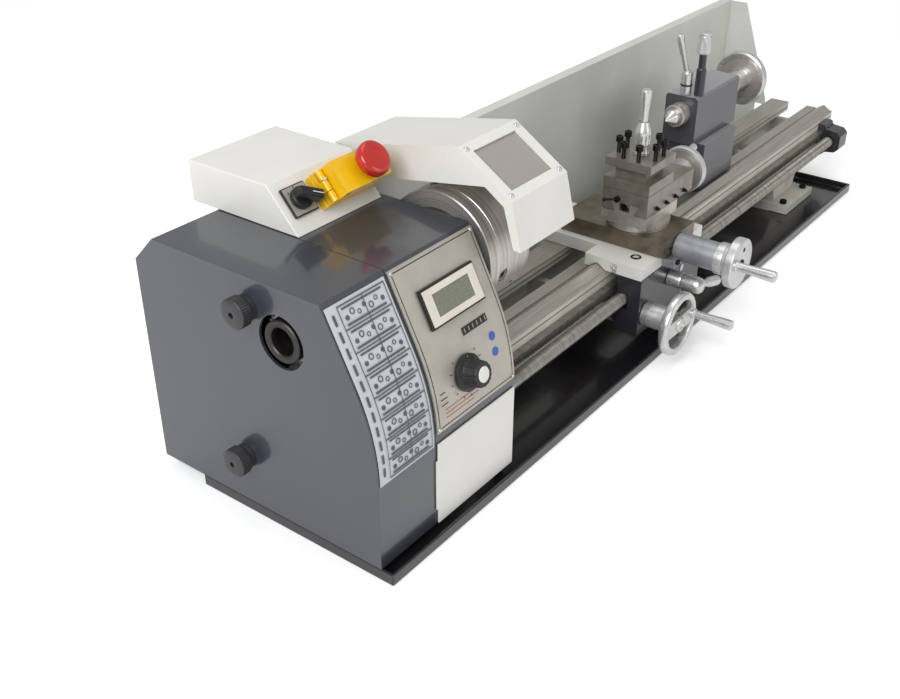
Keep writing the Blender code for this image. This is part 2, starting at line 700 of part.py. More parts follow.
def make_drive_plate():
    """The plate behind the change gears: it carries the motor and the two gear studs."""
    stud, idler = train_places()
    left, right = PLATE_LEFT_X, PLATE_LEFT_X + PLATE_THICKNESS
    outline = [(-0.052, 0.108), (0.0535, 0.108), (0.0535, MOTOR_Z - MOTOR_R),
               (MOTOR_Y + MOTOR_R, MOTOR_Z - MOTOR_R),
               (MOTOR_Y + MOTOR_R, MOTOR_Z + MOTOR_R), (HEAD_HALF_WIDTH, HEAD_TOP_Z),
               (-0.03, HEAD_TOP_Z),
               (-0.075, 0.165), (-0.075, 0.108)]
    plate = piece("drive_plate", prism(outline, "X", left, right), CASTING)
    cut(plate, rod((left - OVERCUT, 0, SPINDLE_Z), (right + OVERCUT, 0, SPINDLE_Z), SPINDLE_R + 0.003))
    cut(plate, rod((left - OVERCUT, MOTOR_Y, MOTOR_Z), (right + OVERCUT, MOTOR_Y, MOTOR_Z),
                   MOTOR_SHAFT_R + 0.003))
    for (y, z), start in ((stud, GEAR_PLANE_A - 0.002), (idler, GEAR_PLANE_B + INSET)):
        unite(plate, rod((start, y, z), (left + 0.002, y, z), STUD_R, sides=16))
    for y, z in (stud, idler):
        start = GEAR_PLANE_B + GEAR_WIDTH + GAP
        unite(plate, rod((start, y, z), (left + LAP, y, z), STUD_R + 0.003, sides=16))
    return plate


def make_motor():
    left = PLATE_LEFT_X + PLATE_THICKNESS + GAP
    return piece("motor", rod((left, MOTOR_Y, MOTOR_Z), (MOTOR_RIGHT_X, MOTOR_Y, MOTOR_Z), MOTOR_R),
                 VIOLET_BLACK)


def make_motor_pulley():
    """The driving pulley and the end of the motor's shaft."""
    shaft_end = PLATE_LEFT_X + PLATE_THICKNESS - PULLEY_LEFT_X
    profile = [(0.0, 0.0)] + pulley_rim(MOTOR_PULLEY_R)
    profile += [(MOTOR_SHAFT_R, PULLEY_WIDTH), (MOTOR_SHAFT_R, shaft_end), (0.0, shaft_end)]
    return piece("motor_pulley", revolve(profile, (PULLEY_LEFT_X, MOTOR_Y, MOTOR_Z), (1, 0, 0), 20),
                 SATIN,
                 (0, MOTOR_Y, MOTOR_Z))


def belt_loop(grow):
    """The outline round both pulleys, in (y, z)."""
    a, b = (0.0, SPINDLE_Z), (MOTOR_Y, MOTOR_Z)
    ra, rb = SPINDLE_PULLEY_R + grow, MOTOR_PULLEY_R + grow
    bearing = math.atan2(b[1] - a[1], b[0] - a[0])
    spread = math.acos((ra - rb) / math.dist(a, b))
    points = []
    for step in range(21):
        angle = bearing + spread + (math.tau - 2 * spread) * step / 20
        points.append((a[0] + ra * math.cos(angle), a[1] + ra * math.sin(angle)))
    for step in range(13):
        angle = bearing - spread + 2 * spread * step / 12
        points.append((b[0] + rb * math.cos(angle), b[1] + rb * math.sin(angle)))
    return points


def make_belt():
    low = PULLEY_LEFT_X + (PULLEY_WIDTH - 0.0115) / 2
    belt = piece("drive_belt", prism(belt_loop(GAP * 2 + BELT_THICKNESS), "X", low, low + 0.0115),
                 RUBBER)
    return cut(belt, prism(belt_loop(GAP * 2), "X", low - OVERCUT, low + 0.02))


def make_housing():
    """Sheet metal case round the headstock, open to the left and below."""
    bottom = TRAY_HEIGHT + GAP
    left = SEAM_X + GAP
    housing = piece("headstock_housing", prism(case_outline(0, bottom), "X", left, CASE_RIGHT_X), SLATE)
    cut(housing, prism(case_outline(CASE_SHEET, bottom - OVERCUT), "X", left - OVERCUT,
                       CASE_RIGHT_X - CASE_SHEET))
    cut(housing, rod((CASE_RIGHT_X - 0.02, 0, SPINDLE_Z), (CASE_RIGHT_X + 0.02, 0, SPINDLE_Z),
                     FLANGE_R + 0.004))
    cut(housing, block((CASE_RIGHT_X - 0.02, SCREW_Y - 0.014, bottom - OVERCUT),
                       (CASE_RIGHT_X + 0.02, FOOT_HALF_WIDTH + 0.003, BED_TOP_Z + 0.010)))
    return housing


def make_end_cover():
    bottom = TRAY_HEIGHT + GAP
    right = SEAM_X - GAP
    cover = piece("end_cover", prism(case_outline(0, bottom), "X", CASE_LEFT_X, right), SLATE,
                  (CASE_LEFT_X, 0, SPINDLE_Z))
    cut(cover, prism(case_outline(CASE_SHEET, bottom + CASE_SHEET), "X", CASE_LEFT_X + CASE_SHEET,
                     right + OVERCUT))
    cut(cover, rod((CASE_LEFT_X - OVERCUT, 0, SPINDLE_Z), (CASE_LEFT_X + OVERCUT, 0, SPINDLE_Z),
                   SPINDLE_WINDOW_R, sides=32))
    for y, z in COVER_KNOBS.values():
        cut(cover, rod((CASE_LEFT_X - OVERCUT, y, z), (CASE_LEFT_X + OVERCUT, y, z), 0.0045, sides=16))
    return cover


COVER_KNOBS = {"cover_knob_upper": (0.037, 0.2276), "cover_knob_lower": (0.0585, 0.0651)}


def make_cover_knob(name, y, z):
    face = CASE_LEFT_X - 0.019
    profile = [(0.0, 0.0), (0.0100, 0.0), (0.0140, 0.002), (0.0140, 0.012), (0.0120, 0.014),
               (0.0120, 0.019 - GAP), (0.004, 0.019 - GAP), (0.004, 0.030), (0.0, 0.030)]
    return piece(name, revolve(profile, (face, y, z), (1, 0, 0), 24), BLACK_PLASTIC, (face, y, z))


# ---- chuck ------------------------------------------------------------------------------

CHUCK_LEFT_X = FLANGE_LEFT_X + FLANGE_THICKNESS + GAP
CHUCK_RIGHT_X = CHUCK_LEFT_X + CHUCK_LENGTH
JAW_ANGLES = {"chuck_jaw_1": math.radians(90), "chuck_jaw_2": math.radians(210),
              "chuck_jaw_3": math.radians(330)}
PINION_ANGLE = math.radians(193.5)


def about_spindle(mesh, angle):
    """Turn a mesh built straight up from the spindle axis round to an angle."""
    turn = Matrix.Rotation(angle - math.radians(90), 4, "X")
    place = Matrix.Translation((0, 0, SPINDLE_Z))
    bmesh.ops.transform(mesh, matrix=place @ turn, verts=mesh.verts)
    return mesh


def make_chuck():
    length, recess = CHUCK_LENGTH, CHUCK_LENGTH - JAW_SLOT_DEPTH
    profile = [(CHUCK_RECESS_R, 0), (CHUCK_R, 0), (CHUCK_R, length - 0.0015),
               (CHUCK_R - 0.0015, length),
               (CHUCK_BORE_R, length), (CHUCK_BORE_R, recess - 0.030),
               (CHUCK_BORE_R + 0.006, recess - 0.030),
               (CHUCK_BORE_R + 0.006, recess - 0.0006), (CHUCK_RECESS_R, recess - 0.0006)]
    chuck = piece("chuck_body", revolve(profile, (CHUCK_LEFT_X, 0, SPINDLE_Z), (1, 0, 0), 40), GROUND,
                  (CHUCK_LEFT_X, 0, SPINDLE_Z))
    for angle in JAW_ANGLES.values():
        half = JAW_SLOT_WIDTH / 2
        slot = block((CHUCK_RIGHT_X - JAW_SLOT_DEPTH, -half, CHUCK_BORE_R - 0.004),
                     (CHUCK_RIGHT_X + OVERCUT, half, CHUCK_R + OVERCUT))
        cut(chuck, about_spindle(slot, angle))
    x = CHUCK_LEFT_X + 0.022
    cut(chuck, about_spindle(rod((x, 0, CHUCK_RECESS_R - 0.003), (x, 0, CHUCK_R + OVERCUT),
                                 PINION_R + RUN, sides=16), PINION_ANGLE))
    return chuck


def make_scroll():
    right = CHUCK_RIGHT_X - JAW_SLOT_DEPTH - 0.0006 - GAP
    profile = washer(SCROLL_BORE_R, SCROLL_R, 0.0, 0.010)
    return piece("chuck_scroll", revolve(profile, (right - 0.010, 0, SPINDLE_Z), (1, 0, 0), 32),
                 DARK_STEEL,
                 (right, 0, SPINDLE_Z))


def make_jaw(name, angle):
    """A stepped jaw, built straight up and then turned to its slot."""
    back, face = CHUCK_RIGHT_X - JAW_SLOT_DEPTH + GAP, CHUCK_RIGHT_X + JAW_PROUD
    outline = [(back, JAW_IN_R), (face, JAW_IN_R), (face, JAW_IN_R + 0.012),
               (face - JAW_STEP, JAW_IN_R + 0.012),
               (face - JAW_STEP, JAW_IN_R + 0.024), (CHUCK_RIGHT_X + 0.005, JAW_IN_R + 0.024),
               (CHUCK_RIGHT_X + 0.005, JAW_OUT_R), (back, JAW_OUT_R)]
    mesh = prism(outline, "Y", -JAW_WIDTH / 2, JAW_WIDTH / 2)
    return piece(name, about_spindle(mesh, angle), GROUND, (CHUCK_RIGHT_X, 0, SPINDLE_Z))


def make_chuck_pinion():
    x = CHUCK_LEFT_X + 0.022
    mesh = rod((x, 0, PINION_IN_R), (x, 0, CHUCK_R - 0.0008), PINION_R, sides=16)
    pinion = piece("chuck_key_pinion", about_spindle(mesh, PINION_ANGLE), DARK_STEEL,
                   (x, math.cos(PINION_ANGLE) * 0.05, SPINDLE_Z + math.sin(PINION_ANGLE) * 0.05))
    half = PINION_SQUARE / 2
    socket = block((x - half, -half, CHUCK_R - 0.009), (x + half, half, CHUCK_R + 0.005))
    return cut(pinion, about_spindle(socket, PINION_ANGLE))


# ---- leadscrew --------------------------------------------------------------------------

def make_leadscrew():
    return piece("leadscrew", rod((SCREW_LEFT_X, SCREW_Y, SCREW_Z), (SCREW_RIGHT_X, SCREW_Y, SCREW_Z),
                                  SCREW_R),
                 GROUND, (0, SCREW_Y, SCREW_Z))


def make_leadscrew_bracket():
    outline = [(-BED_HALF_WIDTH - GAP, 0.046), (-BED_HALF_WIDTH - GAP, 0.094), (-0.060, 0.094),
               (-0.063, 0.088),
               (-0.080, 0.086), (-0.086, 0.080), (-0.086, 0.060), (-0.080, 0.054), (-0.066, 0.052),
               (-0.060, 0.046)]
    bracket = piece("leadscrew_bracket", prism(outline, "X", BRACKET_X, BRACKET_X + BRACKET_LENGTH),
                    VIOLET_BLACK)
    return cut(bracket, rod((BRACKET_X - OVERCUT, SCREW_Y, SCREW_Z),
                            (BRACKET_X + BRACKET_LENGTH + OVERCUT, SCREW_Y, SCREW_Z),
                            SCREW_R + RUN))


# ---- carriage ---------------------------------------------------------------------------

def make_saddle():
    x, f, b = CARRIAGE_X, SADDLE_FRONT_HALF, SADDLE_BACK_HALF
    outline = [(x - f, SADDLE_FRONT_Y), (x + f, SADDLE_FRONT_Y), (x + f, SADDLE_WAIST_Y),
               (x + b, SADDLE_WAIST_Y), (x + b, SADDLE_BACK_Y), (x - b, SADDLE_BACK_Y),
               (x - b, SADDLE_WAIST_Y), (x - f, SADDLE_WAIST_Y)]
    saddle = piece("saddle", prism(outline, "Z", BED_TOP_Z + GAP, SADDLE_TOP_Z), IVORY,
                   (x, 0, BED_TOP_Z))
    cut(saddle, prism(vee_notch(GAP * 2), "X", x - 0.1, x + 0.1))
    rear = BED_HALF_WIDTH + GAP
    unite(saddle, block((x - b + INSET, rear, 0.083),
                        (x + b - INSET, SADDLE_BACK_Y - 0.0002, BED_TOP_Z + 0.005)))
    tail = dovetail(x, CROSS_TAIL_HALF, SADDLE_TOP_Z - LAP, CROSS_TAIL_HEIGHT + LAP)
    unite(saddle, prism(tail, "Y", SADDLE_FRONT_Y + INSET, SADDLE_BACK_Y - INSET))
    cut(saddle, block((x - 0.0095, SADDLE_FRONT_Y - OVERCUT, FEED_Z - 0.0075),
                      (x + 0.0095, 0.045, SADDLE_TOP_Z + 0.02)))
    for side in (-1, 1):
        spot = (x + side * SADDLE_HOLE_X, SADDLE_HOLE_Y)
        cut(saddle, rod((*spot, SADDLE_TOP_Z - SADDLE_HOLE_DEPTH), (*spot, SADDLE_TOP_Z + OVERCUT),
                        SADDLE_HOLE_R, sides=16))
    return saddle


def make_apron():
    x, f = CARRIAGE_X, SADDLE_FRONT_HALF
    apron = piece("apron", block((x - f, SADDLE_FRONT_Y - LAP, APRON_BOTTOM_Z),
                                 (x + f, APRON_BACK_Y, BED_TOP_Z)),
                  VIOLET_BLACK, (x, SADDLE_FRONT_Y, APRON_BOTTOM_Z))
    cut(apron, block((x - 0.1, SCREW_Y - SCREW_R - 0.0015, SCREW_Z - SCREW_R - 0.002),
                     (x + 0.1, APRON_BACK_Y + OVERCUT, SCREW_Z + SCREW_R + 0.002)))
    cut(apron, rod((WHEEL_X, SADDLE_FRONT_Y - OVERCUT, WHEEL_Z),
                   (WHEEL_X, APRON_BACK_Y + OVERCUT, WHEEL_Z), SHAFT_R + RUN,
                   sides=20))
    cut(apron, rod((HALF_NUT_X, SADDLE_FRONT_Y - OVERCUT, HALF_NUT_Z),
                   (HALF_NUT_X, -0.0830, HALF_NUT_Z), 0.006 + RUN, sides=20))
    return apron


def make_rack_pinion():
    """The gear on the handwheel's shaft; its top tooth points straight up into the rack."""
    back = -BED_HALF_WIDTH - GAP - PINION_SIDE_GAP
    mesh = gear(PINION_TEETH, MODULE, SHAFT_R + GAP, -RACK_DEPTH, 0.0, math.radians(90))
    bmesh.ops.transform(mesh, matrix=Matrix.Rotation(math.radians(90), 4, "Z"), verts=mesh.verts)
    return piece("rack_pinion", moved(mesh, WHEEL_X, back, WHEEL_Z), DARK_STEEL,
                 (WHEEL_X, back, WHEEL_Z))


def make_apron_wheel():
    """Rim, bar spoke, graduated hub and handle on one shaft."""
    front = -0.140
    y0 = front + WHEEL_WIDTH
    rim = [(WHEEL_R - WHEEL_RIM, 0), (WHEEL_R - 0.002, 0), (WHEEL_R, 0.002),
           (WHEEL_R, WHEEL_WIDTH - 0.002),
           (WHEEL_R - 0.002, WHEEL_WIDTH), (WHEEL_R - WHEEL_RIM, WHEEL_WIDTH)]
    wheel = piece("apron_handwheel", revolve(rim, (WHEEL_X, y0, WHEEL_Z), (0, -1, 0), 32), CHROME,
                  (WHEEL_X, front, WHEEL_Z))
    reach = WHEEL_R - WHEEL_RIM / 2
    unite(wheel, block((WHEEL_X - reach, front + INSET, WHEEL_Z - 0.010),
                       (WHEEL_X + reach, y0 - LAP, WHEEL_Z + 0.010)))
    face = SADDLE_FRONT_Y - LAP - GAP
    unite(wheel, rod((WHEEL_X, y0 + INSET - 0.002, WHEEL_Z), (WHEEL_X, face, WHEEL_Z), 0.0145))
    unite(wheel, rod((WHEEL_X, face - 0.002, WHEEL_Z),
                     (WHEEL_X, -BED_HALF_WIDTH - 2 * PINION_SIDE_GAP, WHEEL_Z), SHAFT_R,
                     sides=20))
    spot = WHEEL_X + reach - LAP
    unite(wheel, rod((spot, front + 0.003, WHEEL_Z), (spot, front - HANDLE_LENGTH, WHEEL_Z),
                     HANDLE_R - 0.0008, HANDLE_R + 0.0006, 16))
    return wheel


def make_half_nut_lever():
    face = SADDLE_FRONT_Y - LAP - GAP
    front = face - 0.043
    lever = piece("half_nut_lever", rod((HALF_NUT_X, face, HALF_NUT_Z), (HALF_NUT_X, front, HALF_NUT_Z),
                                        0.010), CHROME,
                  (HALF_NUT_X, face, HALF_NUT_Z))
    unite(lever, rod((HALF_NUT_X, face - 0.002, HALF_NUT_Z), (HALF_NUT_X, face + 0.0095, HALF_NUT_Z),
                     0.006, sides=16))
    start = (HALF_NUT_X + 0.004, front + 0.008, HALF_NUT_Z - LAP)
    end = (HALF_NUT_X + 0.050, front + 0.006, HALF_NUT_Z - 0.013)
    unite(lever, rod(start, end, 0.0042, 0.0062, 16))
    return lever


def make_cross_slide():
    x, half = CARRIAGE_X, CROSS_HALF_WIDTH
    slide = piece("cross_slide", block((x - half, CROSS_FRONT_Y, CROSS_BOTTOM_Z),
                                       (x + half, CROSS_BACK_Y, CROSS_TOP_Z)),
                  DARK_STEEL, (x, 0, CROSS_BOTTOM_Z))
    tail = dovetail(x, CROSS_TAIL_HALF, SADDLE_TOP_Z, CROSS_TAIL_HEIGHT + GAP, 0.0004)
    cut(slide, prism([(a, z - 0.0001 if z < SADDLE_TOP_Z + LAP else z) for a, z in tail], "Y",
                     CROSS_FRONT_Y - OVERCUT, CROSS_BACK_Y + OVERCUT))
    nut = block((x - 0.0085, -0.060, FEED_Z - 0.0065),
                (x + 0.0085, -0.030, CROSS_BOTTOM_Z + CROSS_TAIL_HEIGHT + LAP))
    unite(slide, nut)
    cut(slide, rod((x, -0.070, FEED_Z), (x, -0.020, FEED_Z), FEED_R + RUN, sides=16))
    return cut(slide, rod((x, COMPOUND_Y, CROSS_TOP_Z - 0.006), (x, COMPOUND_Y, CROSS_TOP_Z + OVERCUT),
                          0.010 + RUN))


def make_feed_bracket():
    x = CARRIAGE_X
    face = CROSS_FRONT_Y - GAP
    bracket = piece("crossfeed_bracket", rod((x, face, FEED_Z), (x, face - FEED_BRACKET_LENGTH, FEED_Z),
                                             FEED_BRACKET_R),
                    CASTING, (x, face, FEED_Z))
    unite(bracket, block((x - 0.026, face - 0.010, BED_TOP_Z + 0.0006),
                         (x + 0.026, SADDLE_FRONT_Y - GAP, CROSS_BOTTOM_Z - 0.0006)))
    return cut(bracket, rod((x, face + 0.02, FEED_Z), (x, face - FEED_BRACKET_LENGTH - OVERCUT, FEED_Z),
                            FEED_R + RUN))


def make_feed_screw():
    """Screw and graduated dial of the cross slide."""
    x = CARRIAGE_X
    start = CROSS_FRONT_Y - GAP - FEED_BRACKET_LENGTH - GAP
    screw = piece("crossfeed_screw", rod((x, start + LAP, FEED_Z), (x, start - DIAL_LENGTH, FEED_Z),
                                         DIAL_R, sides=32), SATIN,
                  (x, start, FEED_Z))
    cut(screw, block((x - 0.03, start, FEED_Z - 0.03), (x + 0.03, start + OVERCUT, FEED_Z + 0.03)))
    return unite(screw, rod((x, start - 0.002, FEED_Z), (x, 0.040, FEED_Z), FEED_R, sides=16))


def obround(half_length, radius, lean, steps=8):
    """A slot shape in (x, z), leaning from upright."""
    reach = half_length - radius
    points = []
    for end, base in ((1, 0.0), (-1, math.pi)):
        for step in range(steps + 1):
            angle = base + math.pi * step / steps
            x, z = radius * math.cos(angle), end * reach + radius * math.sin(angle)
            points.append((x * math.cos(lean) - z * math.sin(lean),
                           x * math.sin(lean) + z * math.cos(lean)))
    return points


def make_crank():
    x = CARRIAGE_X
    back = CROSS_FRONT_Y - FEED_BRACKET_LENGTH - 2 * GAP - DIAL_LENGTH - GAP
    outline = [(x + a, FEED_Z + b) for a, b in obround(CRANK_HALF_LENGTH, CRANK_END_R, CRANK_LEAN)]
    crank = piece("crossfeed_crank", prism(outline, "Y", back - CRANK_THICKNESS, back), SATIN,
                  (x, back, FEED_Z))
    spot = (x + CRANK_HANDLE_THROW * math.cos(CRANK_HANDLE_ANGLE),
            FEED_Z + CRANK_HANDLE_THROW * math.sin(CRANK_HANDLE_ANGLE))
    front = back - CRANK_THICKNESS
    return unite(crank, rod((spot[0], front + 0.003, spot[1]),
                            (spot[0], front - HANDLE_LENGTH, spot[1]),
                            HANDLE_R - INSET, HANDLE_R + 0.0009, 16))


# ---- compound slide and tool post -------------------------------------------------------

def make_compound_base():
    x, y = CARRIAGE_X, COMPOUND_Y
    low = CROSS_TOP_Z + GAP
    base = piece("compound_base", rod((x, y, low), (x, y, low + SWIVEL_HEIGHT + LAP), SWIVEL_R,
                                      sides=48), GROUND, (x, y, low))
    half = COMPOUND_BASE_LENGTH / 2
    unite(base, block((x - half, y - COMPOUND_HALF_WIDTH, low + SWIVEL_HEIGHT),
                      (x + half, y + COMPOUND_HALF_WIDTH, BASE_TOP_Z)))
    tail = dovetail(y, 0.018, BASE_TOP_Z - LAP, BASE_TAIL_HEIGHT + LAP)
    unite(base, prism(tail, "X", x - half + INSET, x + half - INSET))
    cut(base, block((x - half - OVERCUT, y - 0.0065, TOP_SCREW_Z - 0.0055),
                    (x + half + OVERCUT, y + 0.0065, BASE_TOP_Z + 0.02)))
    nut = block((x - 0.012, y - 0.0068, TOP_SCREW_Z - 0.0060),
                (x + 0.010, y + 0.0068, BASE_TOP_Z + BASE_TAIL_HEIGHT - 0.0004))
    unite(base, nut)
    cut(base, rod((x - 0.02, y, TOP_SCREW_Z), (x + 0.02, y, TOP_SCREW_Z), TOP_SCREW_R + RUN, sides=16))
    return unite(base, rod((x, y, low + LAP), (x, y, CROSS_TOP_Z - 0.005), 0.010))


def make_top_slide():
    y, half = COMPOUND_Y, COMPOUND_HALF_WIDTH
    slide = piece("top_slide", block((TOP_SLIDE_LEFT_X, y - half, BASE_TOP_Z + 0.0006),
                                     (TOP_SLIDE_RIGHT_X, y + half, TOP_SLIDE_TOP_Z)),
                  GROUND, (TOP_SLIDE_RIGHT_X, y, BASE_TOP_Z))
    tail = dovetail(y, 0.018, BASE_TOP_Z, BASE_TAIL_HEIGHT + GAP, 0.0004)
    cut(slide, prism(tail, "X", TOP_SLIDE_LEFT_X - OVERCUT, TOP_SLIDE_RIGHT_X - 0.012))
    cut(slide, rod((TOP_SLIDE_LEFT_X, y, TOP_SCREW_Z), (TOP_SLIDE_RIGHT_X + OVERCUT, y, TOP_SCREW_Z),
                   TOP_SCREW_R + RUN, sides=16))
    unite(slide, rod((POST_X, y, TOP_SLIDE_TOP_Z - 0.002), (POST_X, y, POST_TOP_Z + 0.006), POST_STUD_R,
                     sides=20))
    return slide


def make_compound_wheel():
    """Feed screw, dial and disc wheel of the top slide, with its small handle."""
    y = COMPOUND_Y
    start = TOP_SLIDE_RIGHT_X + GAP
    wheel = piece("compound_handwheel", rod((start, y, TOP_SCREW_Z),
                                            (TOP_WHEEL_X + LAP, y, TOP_SCREW_Z), 0.015, sides=32),
                  SATIN, (start, y, TOP_SCREW_Z))
    unite(wheel, rod((TOP_WHEEL_X, y, TOP_SCREW_Z), (TOP_WHEEL_X + 0.009, y, TOP_SCREW_Z), TOP_WHEEL_R,
                     sides=40))
    unite(wheel, rod((CARRIAGE_X - 0.030, y, TOP_SCREW_Z), (start + 0.002, y, TOP_SCREW_Z), TOP_SCREW_R,
                     sides=16))
    spot = (y, TOP_SCREW_Z + TOP_WHEEL_R - 0.007)
    unite(wheel, rod((TOP_WHEEL_X + 0.007, *spot), (TOP_WHEEL_X + 0.028, *spot), 0.0035, 0.0050, 12))
    return wheel


def make_tool_post():
    x, y, half = POST_X, COMPOUND_Y, POST_HALF
    low = TOP_SLIDE_TOP_Z + GAP
    plate_low = POST_FLOOR_Z + POST_SLOT
    post = piece("tool_post", block((x - half, y - half, low), (x + half, y + half, POST_FLOOR_Z)),
                 DARK_STEEL, (x, y, low))
    neck = POST_NECK_HALF
    unite(post, block((x - neck, y - neck, POST_FLOOR_Z - LAP), (x + neck, y + neck, plate_low + LAP)))
    unite(post, block((x - half + 0.0002, y - half + 0.0002, plate_low),
                      (x + half - 0.0002, y + half - 0.0002, POST_TOP_Z)))
    cut(post, rod((x, y, low - OVERCUT), (x, y, POST_TOP_Z + OVERCUT), POST_STUD_R + RUN, sides=24))
    heads = bmesh.new()
    for dx, dy in tool_bolt_places():
        rod((x + dx, y + dy, POST_TOP_Z - 0.002), (x + dx, y + dy, POST_TOP_Z + 0.013), 0.0026, None, 8,
            heads)
    unite(post, heads)
    caps = bmesh.new()
    for dx, dy in tool_bolt_places():
        rod((x + dx, y + dy, POST_TOP_Z + 0.0125), (x + dx, y + dy, POST_TOP_Z + 0.019), 0.0042, None,
            8, caps)
    return unite(post, caps)


def tool_bolt_places():
    """Eight clamping bolts, two over each slot, round the edge of the top plate."""
    far, near = POST_HALF - 0.006, 0.0095
    return [(far, near), (far, -near), (-far, near), (-far, -near), (near, far), (-near, far),
            (near, -far), (-near, -far)]


def make_post_lever():
    x, y = POST_X, COMPOUND_Y
    low = POST_TOP_Z + GAP
    bore, height = POST_STUD_R + RUN, LEVER_HUB_HEIGHT
    profile = [(bore, 0.0), (LEVER_FOOT_R, 0.0), (LEVER_FOOT_R, 0.003), (LEVER_WAIST_R, 0.005),
               (LEVER_WAIST_R, 0.010), (LEVER_HUB_R, 0.012), (LEVER_HUB_R, 0.025),
               (LEVER_NECK_R, height), (0.0, height), (0.0, 0.008), (bore, 0.008)]
    lever = piece("tool_post_lever", revolve(profile, (x, y, low), (0, 0, 1), 24), CHROME, (x, y, low))
    return unite(lever, rod((x, y, low + height - LAP), (x, y, LEVER_TOP_Z), LEVER_GRIP_R, LEVER_END_R,
                            16))


# ---- tailstock --------------------------------------------------------------------------

def make_tailstock_base():
    left, right, half = TAIL_LEFT_X, TAIL_LEFT_X + TAIL_LENGTH, TAIL_BASE_HALF
    base = piece("tailstock_base", block((TAIL_BASE_LEFT_X, -half, BED_TOP_Z + GAP),
                                         (TAIL_BASE_RIGHT_X, half, TAIL_BASE_TOP_Z)), VIOLET_BLACK,
                 (TAIL_BASE_LEFT_X, 0, BED_TOP_Z))
    cut(base, prism(vee_notch(GAP * 2), "X", left - OVERCUT, right + OVERCUT))
    middle = (left + right) / 2
    tongue_front, tongue_back = FRONT_RAIL_INNER_Y + LAP, REAR_RAIL_INNER_Y - LAP
    unite(base, block((left + TAIL_TONGUE_INSET, tongue_front, BED_TOP_Z - RAIL_THICKNESS - GAP),
                      (right - TAIL_TONGUE_INSET, tongue_back, BED_TOP_Z + 0.004)))
    low = BED_TOP_Z - RAIL_THICKNESS - GAP
    return unite(base, block((middle - 0.025, FRONT_RAIL_INNER_Y - 0.014, low - 0.010),
                             (middle + 0.025, REAR_RAIL_INNER_Y + 0.014, low)))


def make_tailstock_body():
    left, right = TAIL_LEFT_X, TAIL_LEFT_X + TAIL_LENGTH
    low, barrel, ease = TAIL_BASE_TOP_Z + GAP, TAIL_BARREL_HALF, TAIL_BARREL_CHAMFER
    top = SPINDLE_Z + barrel
    outline = [(-barrel, low), (barrel, low), (barrel, top - ease), (barrel - ease, top),
               (-barrel + ease, top), (-barrel, top - ease)]
    body = piece("tailstock_body", prism(outline, "X", left, right), VIOLET_BLACK, (left, 0, low))
    cut(body, rod((left - OVERCUT, 0, SPINDLE_Z), (right - 0.006, 0, SPINDLE_Z), QUILL_R + RUN,
                  sides=32))
    cut(body, rod((right - 0.02, 0, SPINDLE_Z), (right + OVERCUT, 0, SPINDLE_Z), TAIL_SCREW_R + RUN,
                  sides=20))
    for x, y in (QUILL_LOCK_XY, TAIL_CLAMP_XY):
        cut(body, rod((x, y, SPINDLE_Z + QUILL_R + 0.0016), (x, y, SPINDLE_Z + barrel + OVERCUT),
                      TAIL_STUD_R + RUN, sides=16))
    return body


def make_quill():
    profile = [(QUILL_BORE_R + 0.0015, 0.0), (QUILL_R - LAP, 0.0), (QUILL_R, 0.001),
               (QUILL_R, QUILL_LENGTH),
               (TAIL_SCREW_R + RUN, QUILL_LENGTH), (TAIL_SCREW_R + RUN, 0.045), (QUILL_BORE_R, 0.045)]
    return piece("quill", revolve(profile, (QUILL_LEFT_X, 0, SPINDLE_Z), (1, 0, 0)), GROUND,
                 (QUILL_LEFT_X, 0, SPINDLE_Z))


def make_centre():
    """The dead centre: a point and a tapered shank in the quill's socket."""
    length = QUILL_LEFT_X - CENTRE_TIP_X
    profile = [(0.0, 0.0), (0.0092, 0.016), (0.0092, length - GAP),
               (QUILL_BORE_R + 0.0012 - GAP, length - GAP),
               (QUILL_BORE_R - GAP, length + 0.038), (0.0, length + 0.038)]
    return piece("dead_centre", revolve(profile, (CENTRE_TIP_X, 0, SPINDLE_Z), (1, 0, 0)), CHROME,
                 (CENTRE_TIP_X, 0, SPINDLE_Z))


def make_tail_wheel():
    """Screw, hub, web and rim of the tailstock handwheel, with its handle."""
    start = TAIL_LEFT_X + TAIL_LENGTH + GAP
    x, r = TAIL_WHEEL_X, TAIL_WHEEL_R
    rim = [(r - 0.008, 0.0), (r - 0.002, 0.0), (r, 0.002), (r, 0.009), (r - 0.002, 0.011),
           (r - 0.008, 0.011)]
    wheel = piece("tailstock_handwheel", revolve(rim, (x, 0, SPINDLE_Z), (1, 0, 0), 32), CHROME,
                  (start, 0, SPINDLE_Z))
    unite(wheel, rod((x + 0.003, 0, SPINDLE_Z), (x + 0.008, 0, SPINDLE_Z), r - 0.004, sides=24))
    unite(wheel, rod((start, 0, SPINDLE_Z), (x + 0.014, 0, SPINDLE_Z), 0.0165))
    quill_end = QUILL_LEFT_X + QUILL_LENGTH
    unite(wheel, rod((quill_end - 0.055, 0, SPINDLE_Z), (start + 0.003, 0, SPINDLE_Z), TAIL_SCREW_R,
                     sides=16))
    spot = (0.0, SPINDLE_Z - r + 0.0045)
    unite(wheel, rod((x + 0.008, *spot), (x + 0.040, *spot), 0.0034, 0.0048, 12))
    return wheel


def make_tail_lever(name, spot, hub, tip, grip):
    """A clamping lever standing on the tailstock barrel, with its tip given from its axis."""
    x, y = spot
    radius, height = hub
    low = SPINDLE_Z + TAIL_BARREL_HALF + GAP
    lever = piece(name, rod((x, y, low), (x, y, low + height), radius), CHROME, (x, y, low))
    unite(lever, rod((x, y, SPINDLE_Z + QUILL_R + 0.0022), (x, y, low + 0.002), TAIL_STUD_R, sides=16))
    return unite(lever, rod((x, y, low + height - 0.003), (x + tip[0], y + tip[1], tip[2]), *grip, 16))


